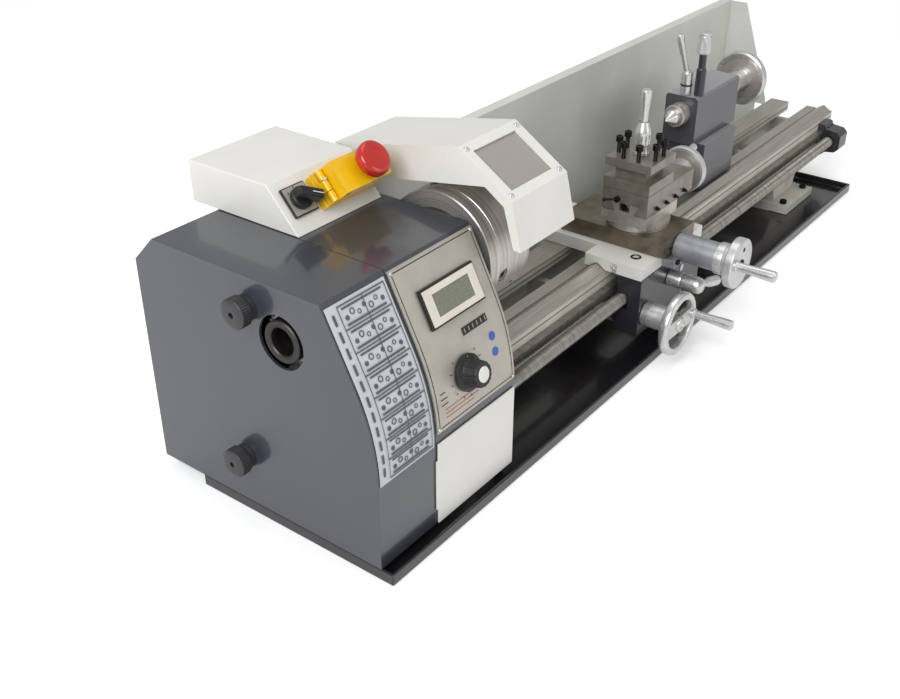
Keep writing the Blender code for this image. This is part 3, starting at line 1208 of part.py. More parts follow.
def make_tail_clamp():
    """The bed clamp's lever: a post with a narrow neck and a thicker knurled head."""
    lever = make_tail_lever("tailstock_clamp_lever", TAIL_CLAMP_XY, TAIL_CLAMP_HUB, TAIL_CLAMP_TIP,
                            (TAIL_CLAMP_NECK_R, TAIL_CLAMP_NECK_R))
    top = TAIL_CLAMP_TIP[2]
    return unite(lever, rod((*TAIL_CLAMP_XY, top - TAIL_CLAMP_HEAD_LENGTH), (*TAIL_CLAMP_XY, top + LAP),
                            TAIL_CLAMP_HEAD_R, sides=16))


# ---- controls ---------------------------------------------------------------------------

def make_control_panel():
    outer = front_outline(GAP + PANEL_SHEET, PANEL_BOTTOM_Z, CASE_TOP_Z - 0.003)
    inner = front_outline(GAP, PANEL_BOTTOM_Z, CASE_TOP_Z - 0.003)
    left, right = SEAM_X + PANEL_INSET, CASE_RIGHT_X - PANEL_INSET
    return piece("control_panel", prism(outer + inner[::-1], "X", left, right), SATIN)


def on_panel(height, out):
    """The point on the leaning front at a height, pushed out along its normal, and the normal."""
    base = front_outline(0.0, CASE_STRAIGHT_Z + LAP, height)[-1]
    normal = Vector((0, -math.cos(CASE_LEAN), math.sin(CASE_LEAN)))
    return Vector((0, base[0], base[1])) + normal * out, normal


def make_display():
    base, normal = on_panel(DISPLAY_Z, GAP * 2 + PANEL_SHEET)
    mesh = bmesh.new()
    place = Matrix.Translation((DISPLAY_X, base.y, base.z)) @ turned(normal)
    size = Matrix.Diagonal((DISPLAY_WIDTH, DISPLAY_HEIGHT, 0.005, 1))
    up = Matrix.Translation((0, 0, 0.0025))
    bmesh.ops.create_cube(mesh, size=1.0, matrix=place @ up @ size)
    bezel = piece("display_bezel", mesh, IVORY)
    hollow = bmesh.new()
    bmesh.ops.create_cube(hollow, size=1.0, matrix=place @ Matrix.Translation((0, 0, 0.0055))
                          @ Matrix.Diagonal((DISPLAY_WIDTH - 0.024, DISPLAY_HEIGHT - 0.016, 0.006, 1)))
    return cut(bezel, hollow)


def speed_knob_place():
    """The knob's foot on the panel and the panel's normal there."""
    centre = (CASE_FRONT_Y + CASE_ARC_RADIUS, CASE_STRAIGHT_Z)
    angle = math.asin((SPEED_KNOB_Z - centre[1]) / CASE_ARC_RADIUS)
    normal = Vector((0, -math.cos(angle), math.sin(angle)))
    foot = Vector((SPEED_KNOB_X, centre[0],
                   centre[1])) + normal * (CASE_ARC_RADIUS + GAP * 2 + PANEL_SHEET + 0.0006)
    return foot, normal


def make_speed_knob():
    foot, normal = speed_knob_place()
    r = SPEED_KNOB_R
    profile = [(0.0, 0.0), (r, 0.0), (r, 0.004), (r - 0.004, 0.006), (r - 0.0055, 0.018),
               (r - 0.0075, 0.0195), (0.0, 0.0195)]
    return piece("speed_knob", revolve(profile, foot, normal, 32), BLACK_PLASTIC, foot)


def make_lower_plate():
    front = CASE_FRONT_Y - GAP - 0.002
    mesh = block((SEAM_X + PANEL_INSET, front, PLATE_BOTTOM_Z),
                 (CASE_RIGHT_X - PANEL_INSET, CASE_FRONT_Y - GAP, CASE_STRAIGHT_Z - INSET))
    plate = piece("electronics_plate", mesh, IVORY)
    return plate


def box_outline(inset, bottom):
    slope = Vector((BOX_SLOPE_TOP_Y - BOX_FRONT_Y, BOX_TOP_Z - CASE_TOP_Z)).normalized()
    shift = inset / slope.y
    top = BOX_TOP_Z - inset
    run = (BOX_SLOPE_TOP_Y - BOX_FRONT_Y) / (BOX_TOP_Z - CASE_TOP_Z)
    start = BOX_FRONT_Y + shift + (bottom - CASE_TOP_Z) * run
    return [(start, bottom), (start + (top - bottom) * run, top), (BOX_BACK_Y - inset, top),
            (BOX_BACK_Y - inset, bottom)]


def make_electrical_box():
    bottom = CASE_TOP_Z + GAP
    box = piece("electrical_box", prism(box_outline(0, bottom), "X", BOX_LEFT_X, BOX_RIGHT_X), IVORY)
    return cut(box, prism(box_outline(BOX_SHEET, bottom - 0.002), "X", BOX_LEFT_X + BOX_SHEET,
                          BOX_RIGHT_X - BOX_SHEET))


def slope_place(x, along, out):
    """A point over the sloping front of the electrical box, and its two directions."""
    up = Vector((0, BOX_SLOPE_TOP_Y - BOX_FRONT_Y, BOX_TOP_Z - CASE_TOP_Z)).normalized()
    normal = Vector((0, -up.z, up.y))
    return Vector((x, BOX_FRONT_Y, CASE_TOP_Z)) + up * along + normal * out, up, normal


def slope_block(x0, x1, s0, s1, low, high, into=None):
    """A box on the slope: x from x0 to x1, s along the slope, and height above it."""
    mesh = into or bmesh.new()
    middle, up, normal = slope_place((x0 + x1) / 2, (s0 + s1) / 2, (low + high) / 2)
    frame = Matrix((Vector((1, 0, 0)), up, normal)).transposed().to_4x4()
    frame.translation = middle
    bmesh.ops.create_cube(mesh, size=1.0,
                          matrix=frame @ Matrix.Diagonal((x1 - x0, s1 - s0, high - low, 1)))
    return mesh


SWITCH_X, SWITCH_ALONG = -0.4440, 0.0305
ESTOP_LEFT_X, ESTOP_RIGHT_X = -0.4250, -0.3560
ESTOP_LOW, ESTOP_HIGH = 0.0125, 0.0445
ESTOP_BASE_HEIGHT, ESTOP_LID_HEIGHT = 0.014, 0.032
ESTOP_BUTTON_X = -0.3810
ESTOP_KNUCKLE = 0.0034
ESTOP_STEM_R = 0.0065
ESTOP_CAP_R = 0.0170


def make_switch_plate():
    return piece("switch_plate", slope_block(SWITCH_X - 0.0145, SWITCH_X + 0.0145,
                                             SWITCH_ALONG - 0.0145, SWITCH_ALONG + 0.0145,
                                             GAP, 0.0035), BLACK_PLASTIC)


def make_switch_knob():
    foot, up, normal = slope_place(SWITCH_X, SWITCH_ALONG, 0.0035 + GAP)
    knob = piece("rotary_switch", rod(foot, foot + normal * 0.006, 0.0105), BLACK_PLASTIC, foot)
    side = Vector((1, 0, 0))
    mesh = bmesh.new()
    direction = (side * 0.86 - up * 0.5).normalized()
    across = normal.cross(direction)
    frame = Matrix((direction, across, normal)).transposed().to_4x4()
    frame.translation = foot + direction * 0.003 + normal * 0.011
    bmesh.ops.create_cube(mesh, size=1.0, matrix=frame @ Matrix.Diagonal((0.024, 0.0085, 0.013, 1)))
    return unite(knob, mesh)


def make_estop_base():
    """Yellow box of the stop switch with the middle knuckle of the flap's hinge."""
    base = piece("estop_base", slope_block(ESTOP_LEFT_X, ESTOP_RIGHT_X, ESTOP_LOW, ESTOP_HIGH, GAP,
                                           ESTOP_BASE_HEIGHT),
                 YELLOW)
    foot, across = estop_hinge()
    low, high = ESTOP_LOW + across.length * 0.34, ESTOP_LOW + across.length * 0.66
    unite(base, slope_block(ESTOP_LEFT_X + 0.0002, ESTOP_LEFT_X + 0.0068, low, high,
                            ESTOP_BASE_HEIGHT - LAP,
                            ESTOP_BASE_HEIGHT + ESTOP_KNUCKLE))
    return unite(base, rod(foot + across * 0.341, foot + across * 0.659, ESTOP_KNUCKLE, sides=16))


def estop_hinge():
    """Where the flap's hinge starts, and its run across the slope."""
    foot, up, _ = slope_place(ESTOP_LEFT_X + ESTOP_KNUCKLE, ESTOP_LOW,
                              ESTOP_BASE_HEIGHT + ESTOP_KNUCKLE + GAP)
    return foot, up * (ESTOP_HIGH - ESTOP_LOW)


def make_estop_flap():
    """Lift-up lid over the stop switch, open below, with a hole for the red button."""
    foot, across = estop_hinge()
    edge = ESTOP_LEFT_X + 2 * ESTOP_KNUCKLE + GAP
    low = ESTOP_BASE_HEIGHT + GAP
    flap = piece("estop_flap", slope_block(edge, ESTOP_RIGHT_X, ESTOP_LOW, ESTOP_HIGH, low,
                                           ESTOP_LID_HEIGHT), YELLOW, foot)
    cut(flap, slope_block(edge + 0.003, ESTOP_RIGHT_X - 0.003, ESTOP_LOW + 0.003, ESTOP_HIGH - 0.003,
                          low - LAP,
                          ESTOP_LID_HEIGHT - 0.003))
    for start, end in ((0.01, 0.32), (0.68, 0.99)):
        unite(flap, rod(foot + across * start, foot + across * end, ESTOP_KNUCKLE, sides=16))
        begin, finish = ESTOP_LOW + across.length * (start + 0.005), ESTOP_LOW + across.length * (end - 0.005)
        unite(flap, slope_block(ESTOP_LEFT_X + ESTOP_KNUCKLE, edge + LAP, begin, finish, low + 0.0002,
                                low + ESTOP_KNUCKLE))
    spot, normal = estop_button_place()
    return cut(flap, rod(spot - normal * 0.01, spot + normal * 0.01, ESTOP_STEM_R + RUN))


def estop_button_place():
    """The middle of the button's hole on top of the flap, and the slope's normal."""
    spot, _, normal = slope_place(ESTOP_BUTTON_X, (ESTOP_LOW + ESTOP_HIGH) / 2, ESTOP_LID_HEIGHT)
    return spot, normal


def make_estop_button():
    spot, normal = estop_button_place()
    stem, cap = ESTOP_STEM_R, ESTOP_CAP_R
    profile = [(0.0, -0.010), (stem, -0.010), (stem, 0.006), (cap - 0.0035, 0.006), (cap, 0.010),
               (cap, 0.014),
               (cap - 0.0035, 0.018), (0.0, 0.0195)]
    return piece("estop_button", revolve(profile, spot, normal), RED, spot)


# ---- chuck guard ------------------------------------------------------------------------

GUARD_OUTER = [(0.119, 0.2925), (-0.029, 0.3215), (-0.0885, 0.2835), (-0.0997, 0.238)]
GUARD_INNER = [(-0.0915, 0.238), (-0.0800, 0.277), (-0.0590, 0.291), (0.050, 0.272), (0.064, 0.281),
               (0.088, 0.264), (0.119, 0.264)]


def offset_line(points, distance):
    """Move an open chain of (y, z) points to its left by a distance."""
    lines = []
    for (y0, z0), (y1, z1) in zip(points, points[1:]):
        length = math.hypot(y1 - y0, z1 - z0)
        normal = (-(z1 - z0) / length * distance, (y1 - y0) / length * distance)
        lines.append(((y0 + normal[0], z0 + normal[1]), (y1 + normal[0], z1 + normal[1])))
    moved_points = [lines[0][0]]
    for (a, b), (c, d) in zip(lines, lines[1:]):
        r, s = (b[0] - a[0], b[1] - a[1]), (d[0] - c[0], d[1] - c[1])
        t = ((c[0] - a[0]) * s[1] - (c[1] - a[1]) * s[0]) / (r[0] * s[1] - r[1] * s[0])
        moved_points.append((a[0] + r[0] * t, a[1] + r[1] * t))
    return moved_points + [lines[-1][1]]


def make_guard():
    pivot = (GUARD_LEFT_X, GUARD_PIVOT_Y, GUARD_PIVOT_Z)
    inner = offset_line(GUARD_OUTER, GUARD_SHEET)
    guard = piece("chuck_guard", prism(GUARD_OUTER + inner[::-1], "X", GUARD_LEFT_X, GUARD_RIGHT_X),
                  IVORY, pivot)
    for x in (GUARD_LEFT_X, GUARD_RIGHT_X - GUARD_SHEET):
        side = offset_line(GUARD_OUTER, GUARD_SHEET / 2)
        unite(guard, prism(side + GUARD_INNER, "X", x + 0.0001, x + GUARD_SHEET - 0.0001))
    cut(guard, rod((GUARD_LEFT_X - 0.02, *pivot[1:]), (GUARD_RIGHT_X + 0.02, *pivot[1:]),
                   GUARD_PIN_R + RUN, sides=20))
    return cut(guard, window_block(0.0, 0.012, -0.01, 0.02))


def window_block(grow, inset, low, high):
    """A box on the leaning face of the guard, with its edges drawn in and a height above it."""
    (y0, z0), (y1, z1) = GUARD_OUTER[1], GUARD_OUTER[2]
    length = math.hypot(y1 - y0, z1 - z0)
    down = Vector((0, (y1 - y0) / length, (z1 - z0) / length))
    normal = Vector((0, down.z, -down.y))
    mesh = bmesh.new()
    middle = Vector(((GUARD_LEFT_X + GUARD_RIGHT_X) / 2, (y0 + y1) / 2,
                     (z0 + z1) / 2)) + normal * ((low + high) / 2)
    frame = Matrix((Vector((1, 0, 0)), down, normal)).transposed().to_4x4()
    frame.translation = middle
    size = (GUARD_RIGHT_X - GUARD_LEFT_X - 2 * inset + grow, length - 2 * inset + grow + 0.004,
            high - low, 1)
    bmesh.ops.create_cube(mesh, size=1.0, matrix=frame @ Matrix.Diagonal(size))
    return mesh


def make_guard_window():
    return piece("guard_window", window_block(0.012, 0.012, -GUARD_SHEET - GAP - 0.002,
                                              -GUARD_SHEET - GAP), CLEAR,
                 (GUARD_LEFT_X, GUARD_PIVOT_Y, GUARD_PIVOT_Z))


def make_guard_bracket():
    """Pivot pin of the guard on its foot, bolted to the right wall of the case."""
    left = CASE_RIGHT_X + GAP
    bracket = piece("guard_bracket", block((left, GUARD_PIVOT_Y - 0.012, 0.222),
                                           (left + 0.0045, GUARD_PIVOT_Y + 0.004,
                                            GUARD_PIVOT_Z + 0.008)),
                    IVORY, (left, GUARD_PIVOT_Y, GUARD_PIVOT_Z))
    return unite(bracket, rod((left + 0.002, GUARD_PIVOT_Y, GUARD_PIVOT_Z),
                              (GUARD_RIGHT_X + 0.006, GUARD_PIVOT_Y, GUARD_PIVOT_Z), GUARD_PIN_R,
                              sides=16))


def build():
    clear_scene()
    make_tray()
    make_bed()
    make_rack()
    make_splash_guard()
    make_headstock()
    make_spindle()
    make_spindle_pulley()
    make_drive_plate()
    make_motor()
    make_motor_pulley()
    make_belt()
    make_housing()
    make_end_cover()
    for name, (y, z) in COVER_KNOBS.items():
        make_cover_knob(name, y, z)
    make_chuck()
    make_scroll()
    for name, angle in JAW_ANGLES.items():
        make_jaw(name, angle)
    make_chuck_pinion()
    make_gear_train(make_leadscrew())
    make_leadscrew_bracket()
    make_saddle()
    make_apron()
    make_rack_pinion()
    make_apron_wheel()
    make_half_nut_lever()
    make_cross_slide()
    make_feed_bracket()
    make_feed_screw()
    make_crank()
    make_compound_base()
    make_top_slide()
    make_compound_wheel()
    make_tool_post()
    make_post_lever()
    make_tailstock_base()
    make_tailstock_body()
    make_quill()
    make_centre()
    make_tail_wheel()
    make_tail_lever("quill_lock_lever", QUILL_LOCK_XY, QUILL_LOCK_HUB, QUILL_LOCK_TIP, QUILL_LOCK_GRIP)
    make_tail_clamp()
    make_control_panel()
    make_display()
    make_speed_knob()
    make_lower_plate()
    make_electrical_box()
    make_switch_plate()
    make_switch_knob()
    make_estop_base()
    make_estop_flap()
    make_estop_button()
    make_guard()
    make_guard_window()
    make_guard_bracket()


build()
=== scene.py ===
"""Looks of the bench lathe: finishes, rounded edges and small fittings around the fixed frame."""

import json
import math

import bmesh
import bpy
from mathutils import Matrix, Vector

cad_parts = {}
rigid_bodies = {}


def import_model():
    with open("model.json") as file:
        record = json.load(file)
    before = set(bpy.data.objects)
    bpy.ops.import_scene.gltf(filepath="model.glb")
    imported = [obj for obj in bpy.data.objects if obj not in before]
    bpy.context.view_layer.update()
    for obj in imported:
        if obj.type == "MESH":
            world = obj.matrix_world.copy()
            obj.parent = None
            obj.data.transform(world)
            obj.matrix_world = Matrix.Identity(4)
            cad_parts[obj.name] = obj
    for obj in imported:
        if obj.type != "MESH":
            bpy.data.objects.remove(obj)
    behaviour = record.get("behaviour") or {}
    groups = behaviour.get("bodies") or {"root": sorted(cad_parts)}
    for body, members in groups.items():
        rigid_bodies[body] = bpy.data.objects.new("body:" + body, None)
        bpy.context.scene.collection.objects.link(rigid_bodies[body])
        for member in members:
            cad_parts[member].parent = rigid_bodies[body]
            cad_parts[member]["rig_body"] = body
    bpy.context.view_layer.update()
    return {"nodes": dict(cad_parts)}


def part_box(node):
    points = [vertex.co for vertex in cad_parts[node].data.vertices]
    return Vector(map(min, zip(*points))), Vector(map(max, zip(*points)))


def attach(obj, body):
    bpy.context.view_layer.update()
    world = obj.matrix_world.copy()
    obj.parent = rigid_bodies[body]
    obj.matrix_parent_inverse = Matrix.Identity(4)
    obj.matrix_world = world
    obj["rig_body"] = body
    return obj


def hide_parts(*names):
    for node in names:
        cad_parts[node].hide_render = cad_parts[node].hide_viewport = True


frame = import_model()

MM = 0.001
NODES = frame["nodes"]
X, Y, Z = Vector((1, 0, 0)), Vector((0, 1, 0)), Vector((0, 0, 1))


# ---- where things are, read from the frame, in millimetres --------------------------------

def box(node):
    """The low and high corners of a node's box."""
    return [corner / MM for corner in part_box(node)]


def low(node):
    return box(node)[0]


def high(node):
    return box(node)[1]


def middle(node):
    return (low(node) + high(node)) / 2


SPINDLE = Vector((0, 0, middle("spindle").z))
SCREW = middle("leadscrew")
BED_TOP = low("headstock").z
CASE_LEFT = low("end_cover").x
SEAM = (high("end_cover").x + low("headstock_housing").x) / 2
CASE_FRONT = low("headstock_housing").y
CASE_TOP = high("headstock_housing").z
CARRIAGE_X = middle("saddle").x

# The case front: upright, then bent back on an arc, then a straight slope
ARC_RADIUS = 198
ARC_FOOT = 102
LEAN = math.radians(27)


def case_front(height, out=0.0):
    """The point on the case front at a height, pushed out from the surface, and the lean there."""
    centre = CASE_FRONT + ARC_RADIUS
    if height <= ARC_FOOT:
        return Vector((0, CASE_FRONT - out, height)), 0.0
    lean = math.asin(min((height - ARC_FOOT) / ARC_RADIUS, math.sin(LEAN)))
    bend = ARC_FOOT + ARC_RADIUS * math.sin(lean)
    depth = centre - ARC_RADIUS * math.cos(lean) + (height - bend) * math.tan(LEAN)
    normal = Vector((0, -math.cos(lean), math.sin(lean)))
    return Vector((0, depth, height)) + normal * out, lean


# ---- materials ---------------------------------------------------------------------------

def linear(colour):
    """A hex sRGB colour as linear RGBA."""
    parts = [int(colour[i:i + 2], 16) / 255 for i in (1, 3, 5)]
    return (*[c / 12.92 if c <= 0.04045 else ((c + 0.055) / 1.055) ** 2.4 for c in parts], 1.0)


def wire(tree, node, **links):
    """Set inputs by name or by iN, each to a value, a node's first output or a given output."""
    for name, value in links.items():
        spot = node.inputs[int(name[1:]) if name[1:].isdigit() else name.replace("_", " ")]
        if isinstance(value, bpy.types.Node):
            value = value.outputs[0]
        if isinstance(value, bpy.types.NodeSocket):
            tree.links.new(value, spot)
        else:
            spot.default_value = value


def add_node(tree, kind, settings=None, stops=(), **links):
    """Add a shader node with its settings, its ramp's (position, hex colour) stops and its links."""
    node = tree.nodes.new("ShaderNode" + kind)
    for name, value in (settings or {}).items():
        setattr(node, name, value)
    for index, (position, colour) in enumerate(stops):
        if index in (0, len(stops) - 1):
            element = node.color_ramp.elements[0 if index == 0 else -1]
            element.position = position
        else:
            element = node.color_ramp.elements.new(position)
        element.color = linear(colour)
    wire(tree, node, **links)
    return node


def new_material(name):
    """An empty node material: its tree, its Principled shader and its Object coordinates."""
    made = bpy.data.materials.new(name)
    made.use_nodes = True
    tree = made.node_tree
    place = add_node(tree, "TexCoord").outputs["Object"]
    return made, tree, tree.nodes["Principled BSDF"], place


def pattern(tree, place, size, spread=(0.3, 0.7), values=(0.0, 1.0), detail=3.0, stretch=(1, 1, 1)):
    """Grains `size` metres across, drawn out by `stretch`, with a spread of noise mapped to values."""
    mapping = add_node(tree, "Mapping", Vector=place,
                       Scale=tuple(1 / part for part in stretch))
    noise = add_node(tree, "TexNoise", Vector=mapping, Scale=1 / size, Detail=detail)
    return add_node(tree, "MapRange", i0=noise, i1=spread[0], i2=spread[1], i3=values[0],
                    i4=values[1])


def enamel(name, colour, shade, roughness, peel=1.2 * MM, coat=0.5, painted_top_light=None):
    """Stoving enamel: faint orange peel, a slow drift of tone, and, if given, upward faces painted
    paler as painted light from above.
    """
    made, tree, shader, place = new_material(name)
    drift = pattern(tree, place, 90 * MM)
    tone = add_node(tree, "ValToRGB", stops=((0, shade), (1, colour)), Fac=drift)
    # Upward faces are mixed towards a paler colour: painted light from above on the top faces.
    if painted_top_light:
        facing = add_node(tree, "SeparateXYZ",
                          i0=add_node(tree, "NewGeometry").outputs["Normal"])
        upward = add_node(tree, "MapRange", i0=facing.outputs["Z"], i1=0.4, i2=0.95)
        tone = add_node(tree, "Mix", {"data_type": "RGBA"}, i0=upward, i6=tone,
                        i7=linear(painted_top_light)).outputs[2]
    skin = pattern(tree, place, peel, (0.0, 1.0), detail=1.0)
    relief = add_node(tree, "Bump", Strength=0.2, Distance=0.01 * MM, Height=skin)
    smears = pattern(tree, place, 40 * MM, values=(roughness * 0.97, roughness * 1.05), detail=1.0)
    wire(tree, shader, Base_Color=tone, Roughness=smears, Normal=relief, IOR=1.5, Coat_Weight=coat,
         Coat_Roughness=0.08)
    return made


def metal(name, colour, shade, roughness, line, stretch=(1, 1, 1), depth=0.008 * MM, bare=1.0):
    """Metal with tool marks: fine lines of width `line` drawn out along `stretch`, and a slow stain."""
    made, tree, shader, place = new_material(name)
    marks = pattern(tree, place, line, (0.25, 0.75), stretch=stretch)
    wear = pattern(tree, place, 22 * MM, detail=4.0)
    mixed = add_node(tree, "Math", {"operation": "MULTIPLY_ADD"}, i0=marks, i1=0.6, i2=wear)
    tone = add_node(tree, "ValToRGB", stops=((0.1, shade), (1, colour)), Fac=mixed)
    gloss = add_node(tree, "MapRange", i0=marks, i3=roughness * 0.85, i4=roughness * 1.25)
    relief = add_node(tree, "Bump", Strength=0.5, Distance=depth, Height=marks)
    wire(tree, shader, Base_Color=tone, Roughness=gloss, Normal=relief, Metallic=bare)
    return made


def turned_metal(name, colour, shade, roughness, axis, centre, line=0.5 * MM, bare=0.85):
    """Metal turned in a lathe: fine rings about an axis, on faces and on round sides."""
    made, tree, shader, place = new_material(name)
    offset = add_node(tree, "VectorMath", {"operation": "SUBTRACT"}, i0=place,
                      i1=tuple(centre * MM))
    parts = add_node(tree, "SeparateXYZ", i0=offset)
    across = [parts.outputs[index] for index in range(3) if "XYZ"[index] != axis]
    flat = add_node(tree, "CombineXYZ", i0=across[0], i1=across[1])
    radius = add_node(tree, "VectorMath", {"operation": "LENGTH"}, i0=flat).outputs["Value"]
    ring = add_node(tree, "CombineXYZ", i0=parts.outputs["XYZ".index(axis)], i1=radius)
    fine = pattern(tree, ring.outputs[0], line, (0.25, 0.75))
    broad = pattern(tree, ring.outputs[0], 7 * MM)
    mixed = add_node(tree, "Math", {"operation": "MULTIPLY_ADD"}, i0=fine, i1=0.5, i2=broad)
    tone = add_node(tree, "ValToRGB", stops=((0.1, shade), (1, colour)), Fac=mixed)
    gloss = add_node(tree, "MapRange", i0=fine, i3=roughness * 0.8, i4=roughness * 1.3)
    relief = add_node(tree, "Bump", Strength=0.5, Distance=0.006 * MM, Height=fine)
    wire(tree, shader, Base_Color=tone, Roughness=gloss, Normal=relief, Metallic=bare)
    return made


def moulding(name, colour, shade, roughness, grain=0.6 * MM, coat=0.0):
    """Injection-moulded plastic with a fine spark-eroded grain."""
    made, tree, shader, place = new_material(name)
    drift = pattern(tree, place, 25 * MM, detail=2.0)
    tone = add_node(tree, "ValToRGB", stops=((0, shade), (1, colour)), Fac=drift)
    fine = pattern(tree, place, grain, values=(roughness * 0.85, roughness * 1.2), detail=2.0)
    relief = add_node(tree, "Bump", Strength=0.5, Distance=0.02 * MM, Height=fine)
    wire(tree, shader, Base_Color=tone, Roughness=fine, Normal=relief, IOR=1.46, Coat_Weight=coat)
    return made


def iron_with_ways():
    """The bed: painted casting, ways ground bare on top, and a dark band under their edges painted as
    the shade of the groove there.
    """
    made, tree, shader, place = new_material("bed_iron_painted_and_ground")
    height = add_node(tree, "SeparateXYZ", i0=place).outputs["Z"]
    bare = add_node(tree, "MapRange", i0=height, i1=(BED_TOP - 2.2) * MM,
                    i2=(BED_TOP - 1.7) * MM)
    paint = add_node(tree, "ValToRGB", stops=((0, "#BBB8AE"), (1, "#D2CFC6")),
                     Fac=pattern(tree, place, 45 * MM))
    lines = pattern(tree, place, 0.5 * MM, (0.25, 0.8), stretch=(120, 1, 1))
    steel = add_node(tree, "ValToRGB", stops=((0, "#8C8880"), (0.4, "#B3AEA6"),
                                                        (1, "#CFCAC2")), Fac=lines)
    # A dark band just under the ways' edges is painted shade, standing for the shaded groove there.
    groove_shade_lower_edge = add_node(tree, "MapRange", i0=height, i1=(BED_TOP - 9) * MM,
                   i2=(BED_TOP - 8.4) * MM)
    line = add_node(tree, "MapRange", i0=height, i1=(BED_TOP - 6.8) * MM,
                    i2=(BED_TOP - 7.4) * MM)
    groove_shade_band = add_node(tree, "Math", {"operation": "MULTIPLY"}, i0=groove_shade_lower_edge, i1=line)
    paint_with_groove_shade = add_node(tree, "Mix", {"data_type": "RGBA"}, i0=groove_shade_band, i6=paint,
                     i7=linear("#5E5B55")).outputs[2]
    tone = add_node(tree, "Mix", {"data_type": "RGBA"}, i0=bare, i6=paint_with_groove_shade,
                    i7=steel).outputs[2]
    sand = pattern(tree, place, 1.6 * MM, (0.0, 1.0), detail=4.0)
    rough = add_node(tree, "Mix", i0=bare, i2=sand, i3=lines)
    relief = add_node(tree, "Bump", Strength=0.5, Distance=0.03 * MM, Height=rough)
    polish = add_node(tree, "MapRange", i0=bare, i3=0.5, i4=0.36)
    shine = add_node(tree, "Math", {"operation": "MULTIPLY"}, i0=bare, i1=0.8)
    wire(tree, shader, Base_Color=tone, Metallic=shine, Roughness=polish, Normal=relief)
    return made


def window_plastic():
    """Clear polycarbonate dulled by fine scratches: it lets a grey light through."""
    made, tree, shader, place = new_material("polycarbonate_scratched")
    scratches = pattern(tree, place, 1.4 * MM, (0.3, 0.8), stretch=(1, 25, 1))
    tone = add_node(tree, "ValToRGB", stops=((0, "#A09C95"), (1, "#A6A29B")), Fac=scratches)
    gloss = add_node(tree, "MapRange", i0=scratches, i3=0.3, i4=0.36)
    relief = add_node(tree, "Bump", Strength=0.1, Distance=0.001 * MM, Height=scratches)
    wire(tree, shader, Base_Color=tone, Roughness=gloss, Normal=relief, Transmission_Weight=0.12,
         IOR=1.58)
    return made


def display_glass():
    """The grey-green face of an unlit liquid crystal display under clear glass."""
    made, tree, shader, place = new_material("liquid_crystal_face")
    cells = add_node(tree, "TexVoronoi", Vector=place, Scale=1 / (1.5 * MM))
    tone = add_node(tree, "ValToRGB", stops=((0, "#6A6D5E"), (1, "#7C7E6E")), Fac=cells)
    gloss = add_node(tree, "MapRange", i0=cells, i3=0.18, i4=0.3)
    wire(tree, shader, Base_Color=tone, Roughness=gloss, Coat_Weight=0.6)
    return made


# Painted: even and glossy, with a soft peel that wobbles the reflections
SLATE = enamel("charcoal_stoving_enamel", "#363A42", "#33373F", 0.30, coat=0.8)
TRAY_BLACK = enamel("black_stoving_enamel", "#1F1C21", "#19161B", 0.22, coat=0.6)
IVORY = enamel("ivory_powder_coat", "#E2E0DA", "#D9D7D1", 0.42, 1.6 * MM, 0.15)
# The splash guard's ivory coat, painted greyer as painted shade for its shaded inner face.
PAINTED_SHADE_IVORY = enamel("ivory_powder_coat_painted_shade", "#D2D2CC", "#C6C6C0", 0.36, 1.6 * MM, 0.2)
CASTING = enamel("grey_painted_casting", "#A9A79F", "#97958D", 0.5, coat=0.0)
# Its upward faces are painted paler: painted light from above on the tailstock's top faces.
MACHINE_DARK = enamel("grey_black_machine_enamel", "#45454B", "#39393F", 0.32, 1.4 * MM, 0.4,
                      painted_top_light="#8F9094")
BLUE_BLACK = enamel("blue_black_machine_enamel", "#2D2C34", "#232229", 0.32, 1.4 * MM, 0.4)
CARD = enamel("laminated_card", "#C4C8CE", "#B6BAC0", 0.4, 6 * MM, 0.3)
# Bare metal: fine straight tool marks that stretch the highlights, over a slow stain
IRON = iron_with_ways()
GROUND = metal("surface_ground_steel", "#C4BFB8", "#A19C95", 0.32, 0.4 * MM, (90, 1, 1), bare=0.8)
GROUND_ACROSS = metal("steel_ground_front_to_back", "#C6C1BA", "#A29D96", 0.34, 0.4 * MM, (1, 90, 1),
                      bare=0.75)
OILED = metal("oiled_ground_iron", "#7D7363", "#5C5446", 0.36, 0.5 * MM, (1, 60, 1), bare=0.7)
POST_STEEL = metal("milled_oiled_steel", "#968F86", "#746D65", 0.36, 0.45 * MM, (1, 1, 30), bare=0.65)
GUNMETAL = metal("blue_grey_machined_iron", "#9C9EA2", "#7A7C82", 0.40, 0.6 * MM, bare=0.6)
CHROME = metal("satin_chrome_plate", "#D4D4D2", "#C8C8C6", 0.27, 9 * MM, depth=0.0, bare=0.8)
ALUMINIUM = metal("machined_aluminium", "#D2D2D2", "#BCBCBC", 0.32, 0.5 * MM, bare=0.7)
NAMEPLATE = metal("satin_anodised_aluminium", "#BAB5AC", "#ADA89F", 0.42, 0.35 * MM, (120, 1, 1),
                  0.004 * MM, 0.6)
PALE_DISC = metal("pinkish_faced_disc", "#BDB2AC", "#A69C96", 0.38, 0.5 * MM, bare=0.6)
# Turned metal: rings that fan the highlight out from the axis
CHUCK_STEEL = turned_metal("turned_chuck_steel", "#CFCAC4", "#97928C", 0.28, "X", SPINDLE, bare=0.7)
DARK_BORE = turned_metal("oiled_dark_steel", "#4A4644", "#2E2B29", 0.40, "X", SPINDLE)
SCREW_STEEL = turned_metal("rolled_screw_steel", "#A29E98", "#7C7872", 0.30, "X", SCREW)
